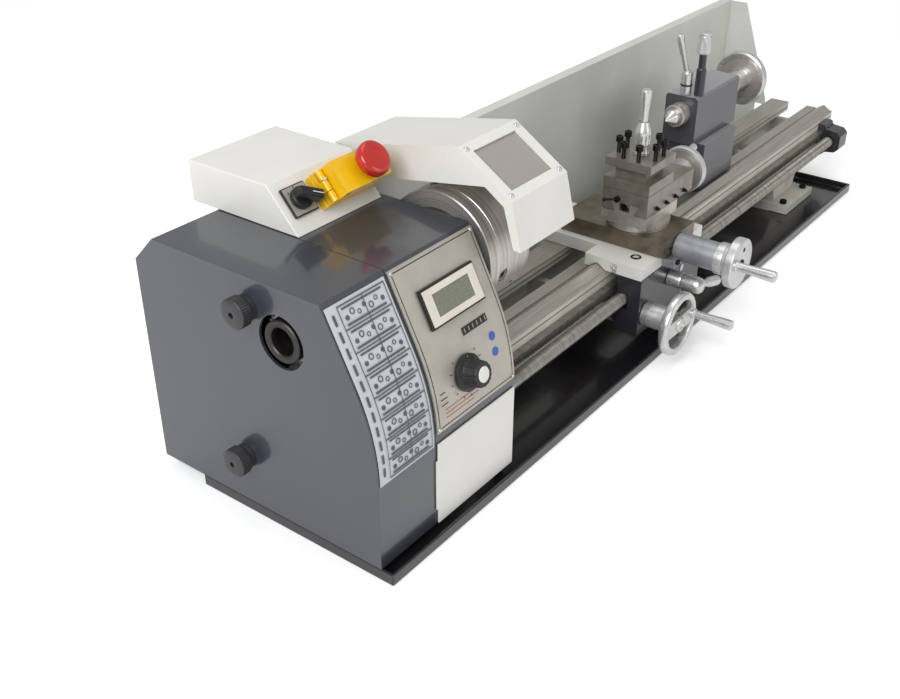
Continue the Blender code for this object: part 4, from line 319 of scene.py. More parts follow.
# Blackened screws, then plastics and prints: a soft, even sheen with no lines
BLACKENED = metal("blackened_screw_steel", "#33302F", "#201E1E", 0.42, 0.8 * MM)
BLACK = moulding("black_abs", "#201F20", "#171617", 0.42)
KNOB_GREY = moulding("grey_black_knob", "#3B3B3E", "#323235", 0.38)
YELLOW = moulding("yellow_abs", "#EDBE14", "#E8B40E", 0.24, coat=0.5)
RED = moulding("red_abs", "#BE2219", "#B01C14", 0.24, coat=0.6)
WHITE_PLASTIC = moulding("white_abs", "#E4E1DA", "#D9D6CF", 0.35)
BEZEL_CREAM = moulding("cream_abs", "#DBD5C8", "#D1CBBE", 0.38)
BLUE = moulding("blue_print", "#3A63B0", "#3359A4", 0.4)
PRINT = moulding("black_print", "#26221F", "#1F1C1A", 0.5)
CARD_PRINT = moulding("grey_black_print", "#5A5B60", "#505156", 0.5)
RED_PRINT = moulding("red_print", "#C4796C", "#BC7063", 0.5)
RUBBER = moulding("belt_rubber", "#222120", "#191818", 0.8, 1.5 * MM)
# Clear parts: a hazy pane, and a glassy grey-green face
WINDOW = window_plastic()
LCD = display_glass()


# ---- shapes, in millimetres until piece() makes them objects ------------------------------

def new_object(name, mesh):
    """Make an object of a bmesh and free the bmesh."""
    data = bpy.data.meshes.new(name)
    mesh.to_mesh(data)
    mesh.free()
    made = bpy.data.objects.new(name, data)
    bpy.context.scene.collection.objects.link(made)
    return made, data


def scaled(mesh, factor):
    """A bmesh made larger or smaller about the frame's zero."""
    bmesh.ops.scale(mesh, vec=(factor, factor, factor), verts=mesh.verts)
    return mesh


def piece(name, mesh, body, look, stands_for=(), smooth=40, unit=MM):
    """Give a bmesh its finish; it rides on a body and stands for CAD nodes."""
    bmesh.ops.recalc_face_normals(scaled(mesh, unit), faces=mesh.faces)
    made, data = new_object(name, mesh)
    data.materials.append(look)
    data.shade_smooth()
    data.set_sharp_from_angle(angle=math.radians(smooth))
    made.modifiers.new("even_shading", "WEIGHTED_NORMAL").keep_sharp = True
    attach(made, body)
    if stands_for:
        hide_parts(*stands_for)
    return made


def round_edges(mesh, width, segments=2, sharper=25):
    """Round every edge whose faces meet more sharply than an angle."""
    edges = [edge for edge in mesh.edges
             if edge.is_manifold and edge.calc_face_angle() > math.radians(sharper)]
    bmesh.ops.bevel(mesh, geom=edges, offset=width, offset_type="OFFSET", affect="EDGES",
                    segments=segments,
                    profile=0.5, material=-1, clamp_overlap=True)
    return mesh


def merged_copy(node):
    """A node's mesh in metres, with its doubled corners merged."""
    mesh = bmesh.new()
    mesh.from_mesh(NODES[node].data)
    bmesh.ops.remove_doubles(mesh, verts=mesh.verts, dist=0.01 * MM)
    return mesh


def softened(node, look, width, segments=2):
    """A copy of a CAD node with its sharp edges rounded."""
    mesh = merged_copy(node)
    bmesh.ops.dissolve_limit(mesh, angle_limit=math.radians(1), verts=mesh.verts, edges=mesh.edges)
    round_edges(mesh, width * MM, segments)
    return piece(f"{node}_finished", mesh, NODES[node]["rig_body"], look, [node], unit=1)


def coated(node, look):
    """Give a CAD node its finish and leave its shape."""
    NODES[node].data.materials.clear()
    NODES[node].data.materials.append(look)


def turned(direction):
    """The rotation that takes +Z onto a direction."""
    return Z.rotation_difference(Vector(direction).normalized()).to_matrix().to_4x4()


def at(foot, direction):
    """The matrix that stands a shape on a spot, with its +Z along a direction."""
    return Matrix.Translation(foot) @ turned(direction)


def put(mesh, matrix):
    bmesh.ops.transform(mesh, matrix=matrix, verts=mesh.verts)
    return mesh


def disc(radius, height, inner=0):
    """The profile of a flat disc, or of a ring with an inner radius."""
    return [(inner, 0), (radius, 0), (radius, height), (inner, height)]


def lathe(profile, origin, direction, sides=96, into=None, merge=0.001):
    """Turn a (radius, distance) profile about an axis; it runs from the axis or closes on itself."""
    mesh = bmesh.new()
    verts = [mesh.verts.new((radius, 0, along)) for radius, along in profile]
    edges = [mesh.edges.new(pair) for pair in zip(verts, verts[1:])]
    if profile[0][0] > 0:
        edges.append(mesh.edges.new((verts[-1], verts[0])))
    bmesh.ops.spin(mesh, geom=verts + edges, cent=(0, 0, 0), axis=(0, 0, 1), angle=math.tau,
                   steps=sides,
                   use_merge=True)
    bmesh.ops.remove_doubles(mesh, verts=mesh.verts, dist=merge)
    bmesh.ops.recalc_face_normals(mesh, faces=mesh.faces)
    put(mesh, at(origin, direction))
    return joined(into, mesh)


def joined(target, mesh):
    """Add a mesh to a target one, if there is one."""
    if target is None:
        return mesh
    data = bpy.data.meshes.new("joining")
    mesh.to_mesh(data)
    mesh.free()
    target.from_mesh(data)
    bpy.data.meshes.remove(data)
    return target


def eased(profile, width):
    """A profile with each corner cut back by a small chamfer."""
    points = []
    last = len(profile) - 1
    closed = profile[0][0] > 0
    for index, spot in enumerate(profile):
        here = Vector(spot)
        if not closed and index in (0, last):
            points.append(spot)
            continue
        for other in (profile[index - 1], profile[(index + 1) % len(profile)]):
            away = Vector(other) - here
            points.append(tuple(here + away.normalized() * min(width, away.length * 0.4)))
    return points


def bar(start, end, radius, end_radius=None, ease=0.5, sides=48, into=None):
    """A round bar or a taper between two points, with eased ends."""
    start, end = Vector(start), Vector(end)
    length = (end - start).length
    tip = radius if end_radius is None else end_radius
    profile = eased([(0, 0), (radius, 0), (tip, length), (0, length)], ease)
    return lathe(profile, start, end - start, sides, into)


def slab(low_corner, high_corner, ease=0.5, segments=2, into=None, frame_matrix=None):
    """A box between two corners with rounded edges, turned by a matrix if one is given."""
    mesh = bmesh.new()
    size = [b - a for a, b in zip(low_corner, high_corner)]
    centre = [(a + b) / 2 for a, b in zip(low_corner, high_corner)]
    bmesh.ops.create_cube(mesh, size=1.0,
                          matrix=Matrix.Translation(centre) @ Matrix.Diagonal((*size, 1)))
    if ease:
        round_edges(mesh, ease, segments)
    if frame_matrix:
        put(mesh, frame_matrix)
    return joined(into, mesh)


def extruded(outline, axis, start, end, ease=0.0, segments=2, into=None):
    """A flat outline drawn out along an axis: (y, z) along X, (x, z) along Y, (x, y) along Z."""
    order = {"X": lambda a, b: (start, a, b), "Y": lambda a, b: (a, start, b), "Z": lambda a,
             b: (a, b, start)}[axis]
    mesh = bmesh.new()
    face = mesh.faces.new([mesh.verts.new(order(a, b)) for a, b in outline])
    grown = bmesh.ops.extrude_face_region(mesh, geom=[face])
    verts = [item for item in grown["geom"] if isinstance(item, bmesh.types.BMVert)]
    bmesh.ops.translate(mesh, verts=verts, vec={"X": X, "Y": Y, "Z": Z}[axis] * (end - start))
    bmesh.ops.recalc_face_normals(mesh, faces=mesh.faces)
    if ease:
        round_edges(mesh, ease, segments)
    return joined(into, mesh)


def cap_screw(foot, direction, radius, height, into=None):
    """The head of a socket screw: a knurl-edged cylinder with a six-sided socket."""
    # At its true size: the faces round the socket join up differently at another scale
    radius, height = radius * MM, height * MM
    mesh = lathe(eased(disc(radius, height), 0.12 * radius), (0, 0, 0), Z, 32, merge=0.001 * MM)
    top = [face for face in mesh.faces
           if face.normal.z > 0.9 and face.calc_center_median().z > height * 0.99]
    bmesh.ops.delete(mesh, geom=top, context="FACES")
    rim = [edge for edge in mesh.edges if edge.is_boundary]
    socket = bmesh.ops.create_circle(mesh, segments=6, radius=radius * 0.55,
                                     matrix=Matrix.Translation((0, 0, height)))
    hexagon = list({edge for vert in socket["verts"] for edge in vert.link_edges})
    bmesh.ops.bridge_loops(mesh, edges=rim + hexagon)
    down = bmesh.ops.extrude_edge_only(mesh, edges=hexagon)
    verts = [item for item in down["geom"] if isinstance(item, bmesh.types.BMVert)]
    bmesh.ops.translate(mesh, verts=verts, vec=(0, 0, -height * 0.6))
    floor = [item for item in down["geom"] if isinstance(item, bmesh.types.BMEdge)]
    bmesh.ops.edgeloop_fill(mesh,
                            edges=[edge for edge in floor if all(vert in verts for vert in edge.verts)])
    put(scaled(mesh, 1 / MM), at(foot, direction))
    return joined(into, mesh)


def pan_screw(foot, direction, radius, into=None):
    """A domed screw head with a cross cut into it."""
    dome = [(0, 0), (radius, 0), (radius, radius * 0.25), (radius * 0.8, radius * 0.55),
            (radius * 0.35, radius * 0.72),
            (0, radius * 0.72)]
    mesh = lathe(dome, (0, 0, 0), Z, 24)
    for turn in (0, 1):
        arm = radius * (0.55 if turn else 0.12), radius * (0.12 if turn else 0.55)
        slab((-arm[0], -arm[1], radius * 0.66), (arm[0], arm[1], radius * 0.76), 0.0, into=mesh)
    put(mesh, at(foot, direction))
    return joined(into, mesh)


def patch(name, spots, across, along, thickness, body, look):
    """A thin sheet laid on a surface: spots(u, v) gives each point as u and v run from 0 to 1."""
    mesh = bmesh.new()
    bmesh.ops.create_grid(mesh, x_segments=across, y_segments=along, size=0.5)
    for vert in mesh.verts:
        vert.co = spots(vert.co.x + 0.5, vert.co.y + 0.5)
    bmesh.ops.solidify(mesh, geom=mesh.faces[:], thickness=thickness)
    return piece(name, mesh, body, look)


# ---- bed, tray and splash guard ----------------------------------------------------------

def make_bed():
    softened("bed", IRON, 0.6)
    softened("chip_tray", TRAY_BLACK, 1.4, 3)
    # The splash guard takes the greyer ivory: painted shade.
    softened("splash_guard", PAINTED_SHADE_IVORY, 0.6)
    softened("leadscrew_bracket", BLUE_BLACK, 1.2, 3)
    start, end = box("leadscrew_bracket")
    bolts = bmesh.new()
    for height in (start.z + 7, end.z - 7):
        for along in (0.28, 0.72):
            cap_screw((start.x + (end.x - start.x) * along, high("rack").y - 11.5, height), -Y, 2.4,
                      2.5,
                      bolts)
    piece("leadscrew_bracket_bolts", bolts, "frame", BLACKENED)
    holders = bmesh.new()
    for foot_x in (low("bed").x + 55, high("bed").x - 152.5):
        for side in (-1, 1):
            for end in (-1, 1):
                cap_screw((foot_x + end * 36, side * 64, 15.3), Z, 5, 5, holders)
    piece("foot_bolts", holders, "frame", BLACKENED)


def make_rack():
    """The rack bar with its teeth cut along the lower edge."""
    start, end = box("rack")
    pitch = math.pi * 1.5
    root, tip = start.z, start.z - 3.1
    outline = [(end.x, end.z), (start.x, end.z), (start.x, root)]
    middle_x = low("rack_pinion").x + (high("rack_pinion").x - low("rack_pinion").x) / 2
    first = math.ceil((start.x - middle_x + pitch) / pitch)
    last = math.floor((end.x - middle_x - pitch) / pitch)
    for tooth in range(first, last):
        foot = middle_x + (tooth + 0.5) * pitch
        outline += [(foot - 0.36 * pitch, root), (foot - 0.14 * pitch, tip), (foot + 0.14 * pitch, tip),
                    (foot + 0.36 * pitch, root)]
    outline.append((end.x, root))
    mesh = extruded(outline, "Y", start.y, end.y)
    piece("toothed_rack", mesh, "frame", SCREW_STEEL, ["rack"])


def make_leadscrew():
    """A bar with a trapezoid thread, plain at its ends, and its change gear."""
    start, end = box("leadscrew")
    pitch, depth, radius = 3, 1.1, 8
    thread_from, thread_to = low("rack").x + 6, low("leadscrew_bracket").x - 4
    steps = round((thread_to - thread_from) / pitch * 5)
    mesh = bmesh.new()
    alongs = [thread_from + (thread_to - thread_from) * i / steps for i in range(steps + 1)]
    alongs = [start.x] + alongs + [end.x]
    verts = [mesh.verts.new((along, 0, radius)) for along in alongs]
    verts = [mesh.verts.new((alongs[0], 0, 0))] + verts + [mesh.verts.new((alongs[-1], 0, 0))]
    edges = [mesh.edges.new(pair) for pair in zip(verts, verts[1:])]
    bmesh.ops.spin(mesh, geom=verts + edges, cent=(0, 0, 0), axis=X, angle=math.tau, steps=16,
                   use_merge=True)
    bmesh.ops.remove_doubles(mesh, verts=mesh.verts, dist=0.001)
    for vert in mesh.verts:
        if thread_from - 0.01 < vert.co.x < thread_to + 0.01 and vert.co.yz.length > radius / 2:
            turn = math.atan2(vert.co.z, vert.co.y) / math.tau
            phase = (vert.co.x / pitch + turn) % 1.0
            groove = min(max(abs(phase - 0.5) * 6 - 1, 0), 1)
            vert.co.yz = vert.co.yz.normalized() * (radius - depth * (1 - groove))
    bmesh.ops.translate(mesh, verts=mesh.verts, vec=(0, SCREW.y, SCREW.z))
    gear = merged_copy("leadscrew")
    edge = (high("idler_gear").x + 0.2) * MM
    bmesh.ops.bisect_plane(gear, geom=gear.verts[:] + gear.edges[:] + gear.faces[:],
                           plane_co=(edge, 0, 0), plane_no=X,
                           clear_outer=True)
    bmesh.ops.holes_fill(gear, edges=[e for e in gear.edges if e.is_boundary], sides=0)
    piece("leadscrew_threaded", joined(mesh, scaled(gear, 1 / MM)), "feed_screw", SCREW_STEEL,
          ["leadscrew"])


# ---- headstock, cover and motor ----------------------------------------------------------

def make_case():
    softened("headstock_housing", SLATE, 0.9, 3)
    softened("end_cover", SLATE, 0.9, 3)
    softened("electronics_plate", IVORY, 0.7)
    for node, look in (("headstock", CASTING), ("drive_plate", CASTING), ("motor", BLUE_BLACK),
                       ("drive_belt", RUBBER), ("spindle_pulley", ALUMINIUM),
                       ("motor_pulley", ALUMINIUM),
                       ("stud_gear", GROUND), ("idler_gear", GROUND), ("chuck_scroll", POST_STEEL),
                       ("rack_pinion", POST_STEEL)):
        coated(node, look)
    tab = low("electronics_plate")
    mesh = slab((tab.x - 2.6, tab.y + 0.1, 30), (tab.x + 2, tab.y + 1.8, 84), 0.5)
    piece("electronics_plate_hinge", mesh, "frame", IVORY)


def make_spindle():
    """The hollow spindle with its nose flange and the nut at its left end."""
    start, end = box("spindle")
    length, flange = end.x - start.x, 10
    bore, radius, nose = 13, 20, 46
    profile = [(bore + 1.2, 0), (radius - 1, 0), (radius, 1), (radius, 6), (radius - 1.2, 6.6),
               (radius - 1.2, 9), (radius, 9.6), (radius, length - flange),
               (nose - 0.8, length - flange), (nose, length - flange + 0.8), (nose, length - 0.8),
               (nose - 0.8, length), (bore, length), (bore, 1.2)]
    piece("spindle_turned", lathe(profile, (start.x, 0, SPINDLE.z), X), "spindle_line", DARK_BORE,
          ["spindle"], 30)


def make_cover_knobs():
    """Two knurled screws that hold the end cover."""
    for node, body in (("cover_knob_upper", "upper_cover_knob"),
                       ("cover_knob_lower", "lower_cover_knob")):
        start, end = box(node)
        centre = Vector((start.x, (start.y + end.y) / 2, (start.z + end.z) / 2))
        radius = (end.z - start.z) / 2
        hole, neck, stud = 2.6, 12, 4
        profile = [(0, 5), (hole, 5), (hole, 0.4), (hole + 0.5, 0), (radius - 4.5, 0),
                   (radius - 1, 1.2), (radius - 0.5, 2), (radius - 0.5, 12),
                   (neck, 13.8), (neck, 18.7), (stud, 18.7), (stud, 30), (0, 30)]
        mesh = lathe(profile, centre, X, 72)
        for vert in mesh.verts:
            if centre.x + 1.8 < vert.co.x < centre.x + 12.2:
                across = Vector((0, vert.co.y - centre.y, vert.co.z - centre.z))
                ridge = round(math.atan2(across.z, across.y) / math.tau * 72) % 2
                vert.co += across.normalized() * ridge * 0.5
        piece(f"{node}_knurled", mesh, body, KNOB_GREY, [node], 30)
        mesh = cap_screw(centre + X * 5, -X, 2.4, 1.6)
        piece(f"{node}_screw", mesh, body, GROUND)


# ---- control panel ------------------------------------------------------------------------

PANEL_OUT = 2.0
PANEL_LEFT, PANEL_RIGHT = low("control_panel").x, high("control_panel").x
PANEL_LOW, PANEL_HIGH = low("control_panel").z, high("control_panel").z


def front_strip(name, x0, x1, z0, z1, look, out=PANEL_OUT, thickness=0.15, body="frame"):
    """A thin printed strip that follows the case front."""
    rows = max(2, round((z1 - z0) / 6) + 1)
    patch(name, lambda u,
          v: Vector((x0 + (x1 - x0) * u, 0, 0)) + case_front(z0 + (z1 - z0) * v, out)[0],
          1, rows, -thickness, body, look)


def on_front(x, height, out=PANEL_OUT):
    """A spot on the case front and the direction straight out of it."""
    foot, lean = case_front(height, out)
    return Vector((x, 0, 0)) + foot, Vector((0, -math.cos(lean), math.sin(lean)))


def sheet_frame(foot, normal):
    """The matrix of a place on a leaning front: +X right, +Y up the front and +Z out of it."""
    place = Matrix((X, Vector((0, normal.z, -normal.y)), normal)).transposed().to_4x4()
    place.translation = foot
    return place


def make_panel():
    """Nameplate with its border, scale, blue marks, corner rivets and knob scale, but no lettering."""
    coated("control_panel", NAMEPLATE)
    edge, line = 3, 0.7
    left, right = PANEL_LEFT + edge, PANEL_RIGHT - edge
    bottom, top = PANEL_LOW + edge, PANEL_HIGH - edge
    for side, *edges in (("left", left, left + line, bottom, top),
                         ("right", right - line, right, bottom, top),
                         ("bottom", left, right, bottom, bottom + line),
                         ("top", left, right, top - line, top)):
        front_strip(f"panel_border_{side}", *edges, PRINT)
    front_strip("panel_scale", -408.5, -372.5, 179, 185.5, PRINT)
    for index in range(6):
        x = -405.5 + index * 6
        front_strip(f"panel_scale_mark_{index + 1}", x, x + 1, 180.5, 184, NAMEPLATE, PANEL_OUT + 0.1)
    for index, height in enumerate((164.6, 149.9)):
        foot, normal = on_front(-372.5, height)
        mark = bar(foot, foot + normal * 0.3, 4.2, ease=0.05, sides=40)
        piece(f"panel_blue_mark_{index + 1}", mark, "frame", BLUE)
    for index, (x, z) in enumerate(((left, bottom), (right, bottom), (left, top), (right, top))):
        piece(f"panel_rivet_{index + 1}", pan_screw(*on_front(x, z), 1.9), "frame", CHROME)
    for index, height in enumerate((121.5, 125.5, 129.5)):
        front_strip(f"panel_red_rule_{index + 1}", -452, -412 + 8 * index, height, height + 0.6,
                    RED_PRINT)
    for index, (height, reach) in enumerate(((140, 9), (135, 9), (145.5, 7))):
        front_strip(f"panel_rule_{index + 1}", -456.5, -456.5 + reach, height, height + 0.7, PRINT)
    ring = bmesh.new()
    foot, normal = knob_place()
    for step in range(11):
        angle = math.radians(-225 + 27 * step)
        spot = turned(normal) @ Vector((math.cos(angle) * 21, math.sin(angle) * 21, 0))
        bar(foot + spot, foot + spot * 1.12, 0.35, ease=0.1, sides=8, into=ring)
    piece("panel_knob_scale", ring, "frame", PRINT)


def knob_place():
    """The foot of the speed knob on the panel and the direction it points."""
    centre = middle("speed_knob")
    lean = math.asin((centre.z - ARC_FOOT) / ARC_RADIUS)
    for _ in range(3):
        foot, lean = case_front(centre.z - math.sin(lean) * 10, PANEL_OUT + 0.5)
    normal = Vector((0, -math.cos(lean), math.sin(lean)))
    return Vector((centre.x, 0, 0)) + foot, normal


def make_speed_knob():
    """Skirted knob with a fluted grip and a pale cap."""
    foot, normal = knob_place()
    radius = (high("speed_knob").x - low("speed_knob").x) / 2
    profile = [(0, 0), (radius - 0.4, 0), (radius, 0.5), (radius, 3), (radius - 0.8, 4),
               (radius - 3.6, 6), (radius - 4.4, 8), (radius - 5.6, 17.6),
               (radius - 6.4, 18.8), (0, 18.8)]
    mesh = lathe(profile, (0, 0, 0), Z, 96)
    for vert in mesh.verts:
        if vert.co.z > 5 and vert.co.xy.length > 6:
            flute = math.cos(math.atan2(vert.co.y, vert.co.x) * 16)
            vert.co.xy = vert.co.xy * (1 + 0.022 * flute)
    put(mesh, at(foot, normal))
    piece("speed_knob_fluted", mesh, "speed_dial", BLACK, ["speed_knob"], 30)
    cap = lathe([(0, 18.5), (7.4, 18.5), (7.4, 19.1), (6.8, 19.5), (0, 19.5)],
                foot, normal, 64)
    piece("speed_knob_cap", cap, "speed_dial", WHITE_PLASTIC)
    line = slab((-0.4, 8.5, 0), (0.4, 16.5, 0.3), 0.05, 1)
    put(line, at(foot + normal * 4.2, normal))
    piece("speed_knob_pointer", line, "speed_dial", WHITE_PLASTIC)


def make_display():
    """A black-sided meter with a cream face and its display."""
    centre = middle("display_bezel")
    place = sheet_frame(*on_front(centre.x, centre.z - 1))
    half_width, half_height = (high("display_bezel").x - low("display_bezel").x) / 2, 18.5
    rim = slab((-half_width, -half_height, 0.1), (half_width, half_height, 3.4), 0.5,
               frame_matrix=place)
    piece("display_rim", rim, "frame", BLACK)
    across, along = half_width - 2.2, half_height - 2.0
    inner = half_width - 12, half_height - 8
    face = slab((-across, -along, 3.2), (across, along, 4.9), 0)
    mesh = carved(face, [slab((-inner[0], -inner[1], 0), (inner[0], inner[1], 9), 0)])
    round_edges(mesh, 0.3)
    put(mesh, place)
    piece("display_face", mesh, "frame", BEZEL_CREAM, ["display_bezel"])
    screen = slab((-inner[0] - 0.6, -inner[1] - 0.6, 3.3), (inner[0] + 0.6, inner[1] + 0.6, 4.0),
                  0.1, 1, frame_matrix=place)
    piece("display_screen", screen, "frame", LCD)


def make_chart():
    """The card on the end cover: a ruled table, with gear marks and bars in place of wording."""
    left, right = CASE_LEFT + 2, SEAM - 3
    bottom, top, proud, rows = 101, 252, 1.2, 8
    front_strip("chart_card", left, right, bottom, top, CARD, 0.5, 0.4, "cover")
    start, end = left + 13, right - 3

    def rule(name, *edges):
        front_strip(f"chart_{name}", *edges, CARD_PRINT, proud, 0.7, "cover")

    tall = (top - bottom - 6) / rows
    for row in range(rows + 1):
        base = bottom + 3 + row * tall
        rule(f"rule_{row + 1}", start, end, base - 0.3, base + 0.3)
    for row in range(rows):
        base = bottom + 3 + row * tall
        for side, low_part, high_part in (("lower", 0.12, 0.19), ("upper", 0.82, 0.88)):
            rule(f"{side}_bar_{row + 1}", start + 4, end - 5, base + tall * low_part,
                 base + tall * high_part)
        marks = bmesh.new()
        for step in range(7):
            spot, normal = on_front(start + (end - start) * (0.12 + step * 0.127),
                                    base + tall * (0.6 if step % 2 else 0.44), proud - 0.2)
            radius = 2.9 if step % 3 == 1 else 2.2
            ring = [(radius * 0.66, 0), (radius, 0), (radius, 0.2), (radius * 0.66, 0.2)]
            lathe(ring, spot, normal, 14, marks)
            if step % 3 == 0:
                bar(spot, spot + normal * 0.2, radius * 0.5, ease=0.02, sides=12, into=marks)
        piece(f"chart_gear_marks_{row + 1}", marks, "cover", CARD_PRINT)
    for index, x in enumerate((start, start + (end - start) * 0.52, end)):
        rule(f"column_{index + 1}", x - 0.3, x + 0.3, bottom + 3, top - 3)
    for step in range(11):
        height = bottom + 8 + step * 12.8
        rule(f"side_bar_{step + 1}", left + 5, left + 7.5, height, height + 8)


# ---- electrical box, switch and stop button -----------------------------------------------

BOX_FOOT = Vector((0, 50, CASE_TOP))
BOX_UP = Vector((0, 36, high("electrical_box").z - CASE_TOP)).normalized()
BOX_NORMAL = Vector((0, -BOX_UP.z, BOX_UP.y))


def slope_frame(x, along):
    """The matrix of a place on the electrical box's sloping front."""
    return sheet_frame(Vector((x, 0, 0)) + BOX_FOOT + BOX_UP * along, BOX_NORMAL)


def make_electrical_box():
    softened("electrical_box", IVORY, 1.0, 3)
    x, along, half = middle("switch_plate").x, 30.5, 14.5
    place = slope_frame(x, along)
    base = slab((-half, -half, 0.3), (half, half, 3.2), 0.8, 3, frame_matrix=place)
    piece("switch_base", base, "frame", BLACK, ["switch_plate"])
    face = slab((-half + 1.2, -half + 1.2, 3.0), (half - 1.2, half - 1.2, 3.6), 0.15,
                frame_matrix=place)
    piece("switch_face", face, "frame", NAMEPLATE)
    marks = bmesh.new()
    for turn in (-45, 0, 45):
        spot = Vector((math.sin(math.radians(turn)), math.cos(math.radians(turn)), 0)) * 12
        slab((spot.x - 0.5, spot.y - 1, 3.55), (spot.x + 0.5, spot.y + 1, 3.75), 0,
             into=marks)
    put(marks, place)
    piece("switch_marks", marks, "frame", PRINT)
    knob = lathe([(0, 3.9), (10.5, 3.9), (10.5, 8.6), (9.2, 9.8), (0, 9.8)],
                 (0, 0, 0), Z, 72)
    turn = Matrix.Rotation(math.atan2(-0.5, 0.86), 4, "Z")
    slab((-9, -4.2, 8.4), (15, 4.2, 21), 1.2, 3, knob, turn)
    put(knob, place)
    piece("switch_grip", knob, "switch", BLACK, ["rotary_switch"])
    line = slab((3, -0.4, 20.9), (14, 0.4, 21.2), 0.05, 1)
    put(line, place @ turn)
    piece("switch_pointer", line, "switch", WHITE_PLASTIC)


def make_stop_switch():
    """Yellow box and lid with moulded ribs, and a dished red button with arrows."""
    softened("estop_base", YELLOW, 1.6, 3)
    softened("estop_flap", YELLOW, 1.6, 3)
    left, right = low("estop_base").x, high("estop_base").x
    place = slope_frame((left + right) / 2, 28.5)
    half = (right - left) / 2
    trim = bmesh.new()
    slab((-half - 0.8, -16.8, 6.5), (half + 0.8, 16.8, 8.3), 0.6, 3, trim, place)
    for side in (-1, 1):
        slab((-half + 5, side * 12 - 1.2, 13.6), (-half + 9, side * 12 + 1.2, 15.6),
             0.4, 2, trim, place)
    piece("estop_seam_lip", trim, "frame", YELLOW)
    screws = bmesh.new()
    spot = place @ Vector((-half + 3.4, 6, 20.6))
    pan_screw(spot, BOX_NORMAL, 2.0, screws)
    piece("estop_hinge_screw", screws, "stop_flap", CHROME)
    ribs = bmesh.new()
    for index in range(3):
        x = -half + 10 + 3.2 * index
        slab((x, -16.4, 17), (x + 1.2, -15.6, 29), 0.3, 1, ribs, place)
    piece("estop_flap_ribs", ribs, "stop_flap", YELLOW)
    cap, top = 17, slope_frame(middle("estop_button").x, 28.5)
    button = lathe([(0, 22), (6.4, 22), (6.4, 38), (cap - 3.4, 38),
                    (cap - 1, 39.6), (cap, 41.8), (cap, 46.4), (cap - 0.6, 48.6),
                    (cap - 2, 50), (cap - 5, 50.7), (0, 50.8)], (0, 0, 0), Z, 96)
    put(button, top)
    piece("estop_button_cap", button, "stop_button", RED, ["estop_button"], 50)
    arrows = bmesh.new()
    for step in range(2):
        for bit in range(7):
            angle = math.radians(step * 180 + bit * 15)
            width = 2.6 if bit == 6 else 0.9
            slab((8.2 - width / 2, -1.1, 50.5), (8.2 + width / 2, 1.1, 51.0), 0.1, 1,
                 arrows, Matrix.Rotation(angle, 4, "Z"))
    put(arrows, top)
    piece("estop_button_arrows", arrows, "stop_button", RED)


# ---- chuck ---------------------------------------------------------------------------------

def carved(mesh, cutters):
    """A mesh with other meshes cut out of it."""
    holders = []
    for item in [mesh] + cutters:
        bmesh.ops.recalc_face_normals(item, faces=item.faces)
        holders.append(new_object("carving", item)[0])
    body = holders[0]
    for tool in holders[1:]:
        step = body.modifiers.new("cut", "BOOLEAN")
        step.operation, step.solver, step.object = "DIFFERENCE", "EXACT", tool
    graph = bpy.context.evaluated_depsgraph_get()
    result = bmesh.new()
    result.from_mesh(body.evaluated_get(graph).to_mesh())
    for holder in holders:
        bpy.data.objects.remove(holder, do_unlink=True)
    return result


def about_spindle(mesh, degrees):
    """Move a shape, built straight up from zero, to the spindle and turn it round to an angle."""
    return put(mesh, Matrix.Translation(SPINDLE) @ Matrix.Rotation(math.radians(degrees - 90), 4, "X"))


def make_chuck():
    """Chuck body with its back plate line, jaw slots and three key sockets."""
    start, end = box("chuck_body")
    length, radius, bore = end.x - start.x, 62.5, 16
    profile = [(bore, 0), (radius - 1, 0), (radius, 1), (radius, 14.4), (radius - 0.8, 15),
               (radius, 15.6), (radius, length - 2.6), (radius - 0.7, length - 1.2),
               (radius - 2.4, length), (32.5, length), (31.9, length - 0.5), (31.3, length),
               (bore + 1.2, length), (bore, length - 1.2)]
    body = lathe(profile, (start.x, 0, SPINDLE.z), X, 144)
    cutters = []
    for angle in (90, 210, 330):
        slot = slab((end.x - 22, -7.3, 12), (end.x + 10, 7.3, 80), 0)
        rim = slab((end.x - 16, -9, 12), (end.x - 12, 9, 80), 0)
        cutters += [about_spindle(slot, angle), about_spindle(rim, angle)]
    x = start.x + 22
    for angle in (193.5, 73.5, 313.5):
        socket = bar((x, 0, radius - 16), (x, 0, radius + 10), 6.9, ease=0.1, sides=40)
        cutters.append(about_spindle(socket, angle))
    piece("chuck_body_turned", carved(body, cutters), "spindle_line", CHUCK_STEEL, ["chuck_body"], 25)
    softened("chuck_key_pinion", POST_STEEL, 0.3)
    others = bmesh.new()
    for angle in (73.5, 313.5):
        shape = bar((x, 0, 48), (x, 0, radius - 0.8), 6.5, ease=0.3, sides=32)
        hole = slab((x - 3.3, -3.3, radius - 9), (x + 3.3, 3.3, radius + 5), 0)
        joined(others, about_spindle(carved(shape, [hole]), angle))
    piece("chuck_key_sockets", others, "spindle_line", POST_STEEL)
    screws = bmesh.new()
    for angle in (30, 150, 270):
        direction = Vector((0, math.cos(math.radians(angle)), math.sin(math.radians(angle))))
        cap_screw(Vector((end.x - 1.5, 0, SPINDLE.z)) + direction * 47, X, 4.2, 1.8, screws)
    piece("chuck_face_screws", screws, "spindle_line", BLACKENED)
    for index in (1, 2, 3):
        softened(f"chuck_jaw_{index}", GROUND, 0.5)


# ---- chuck guard ---------------------------------------------------------------------------

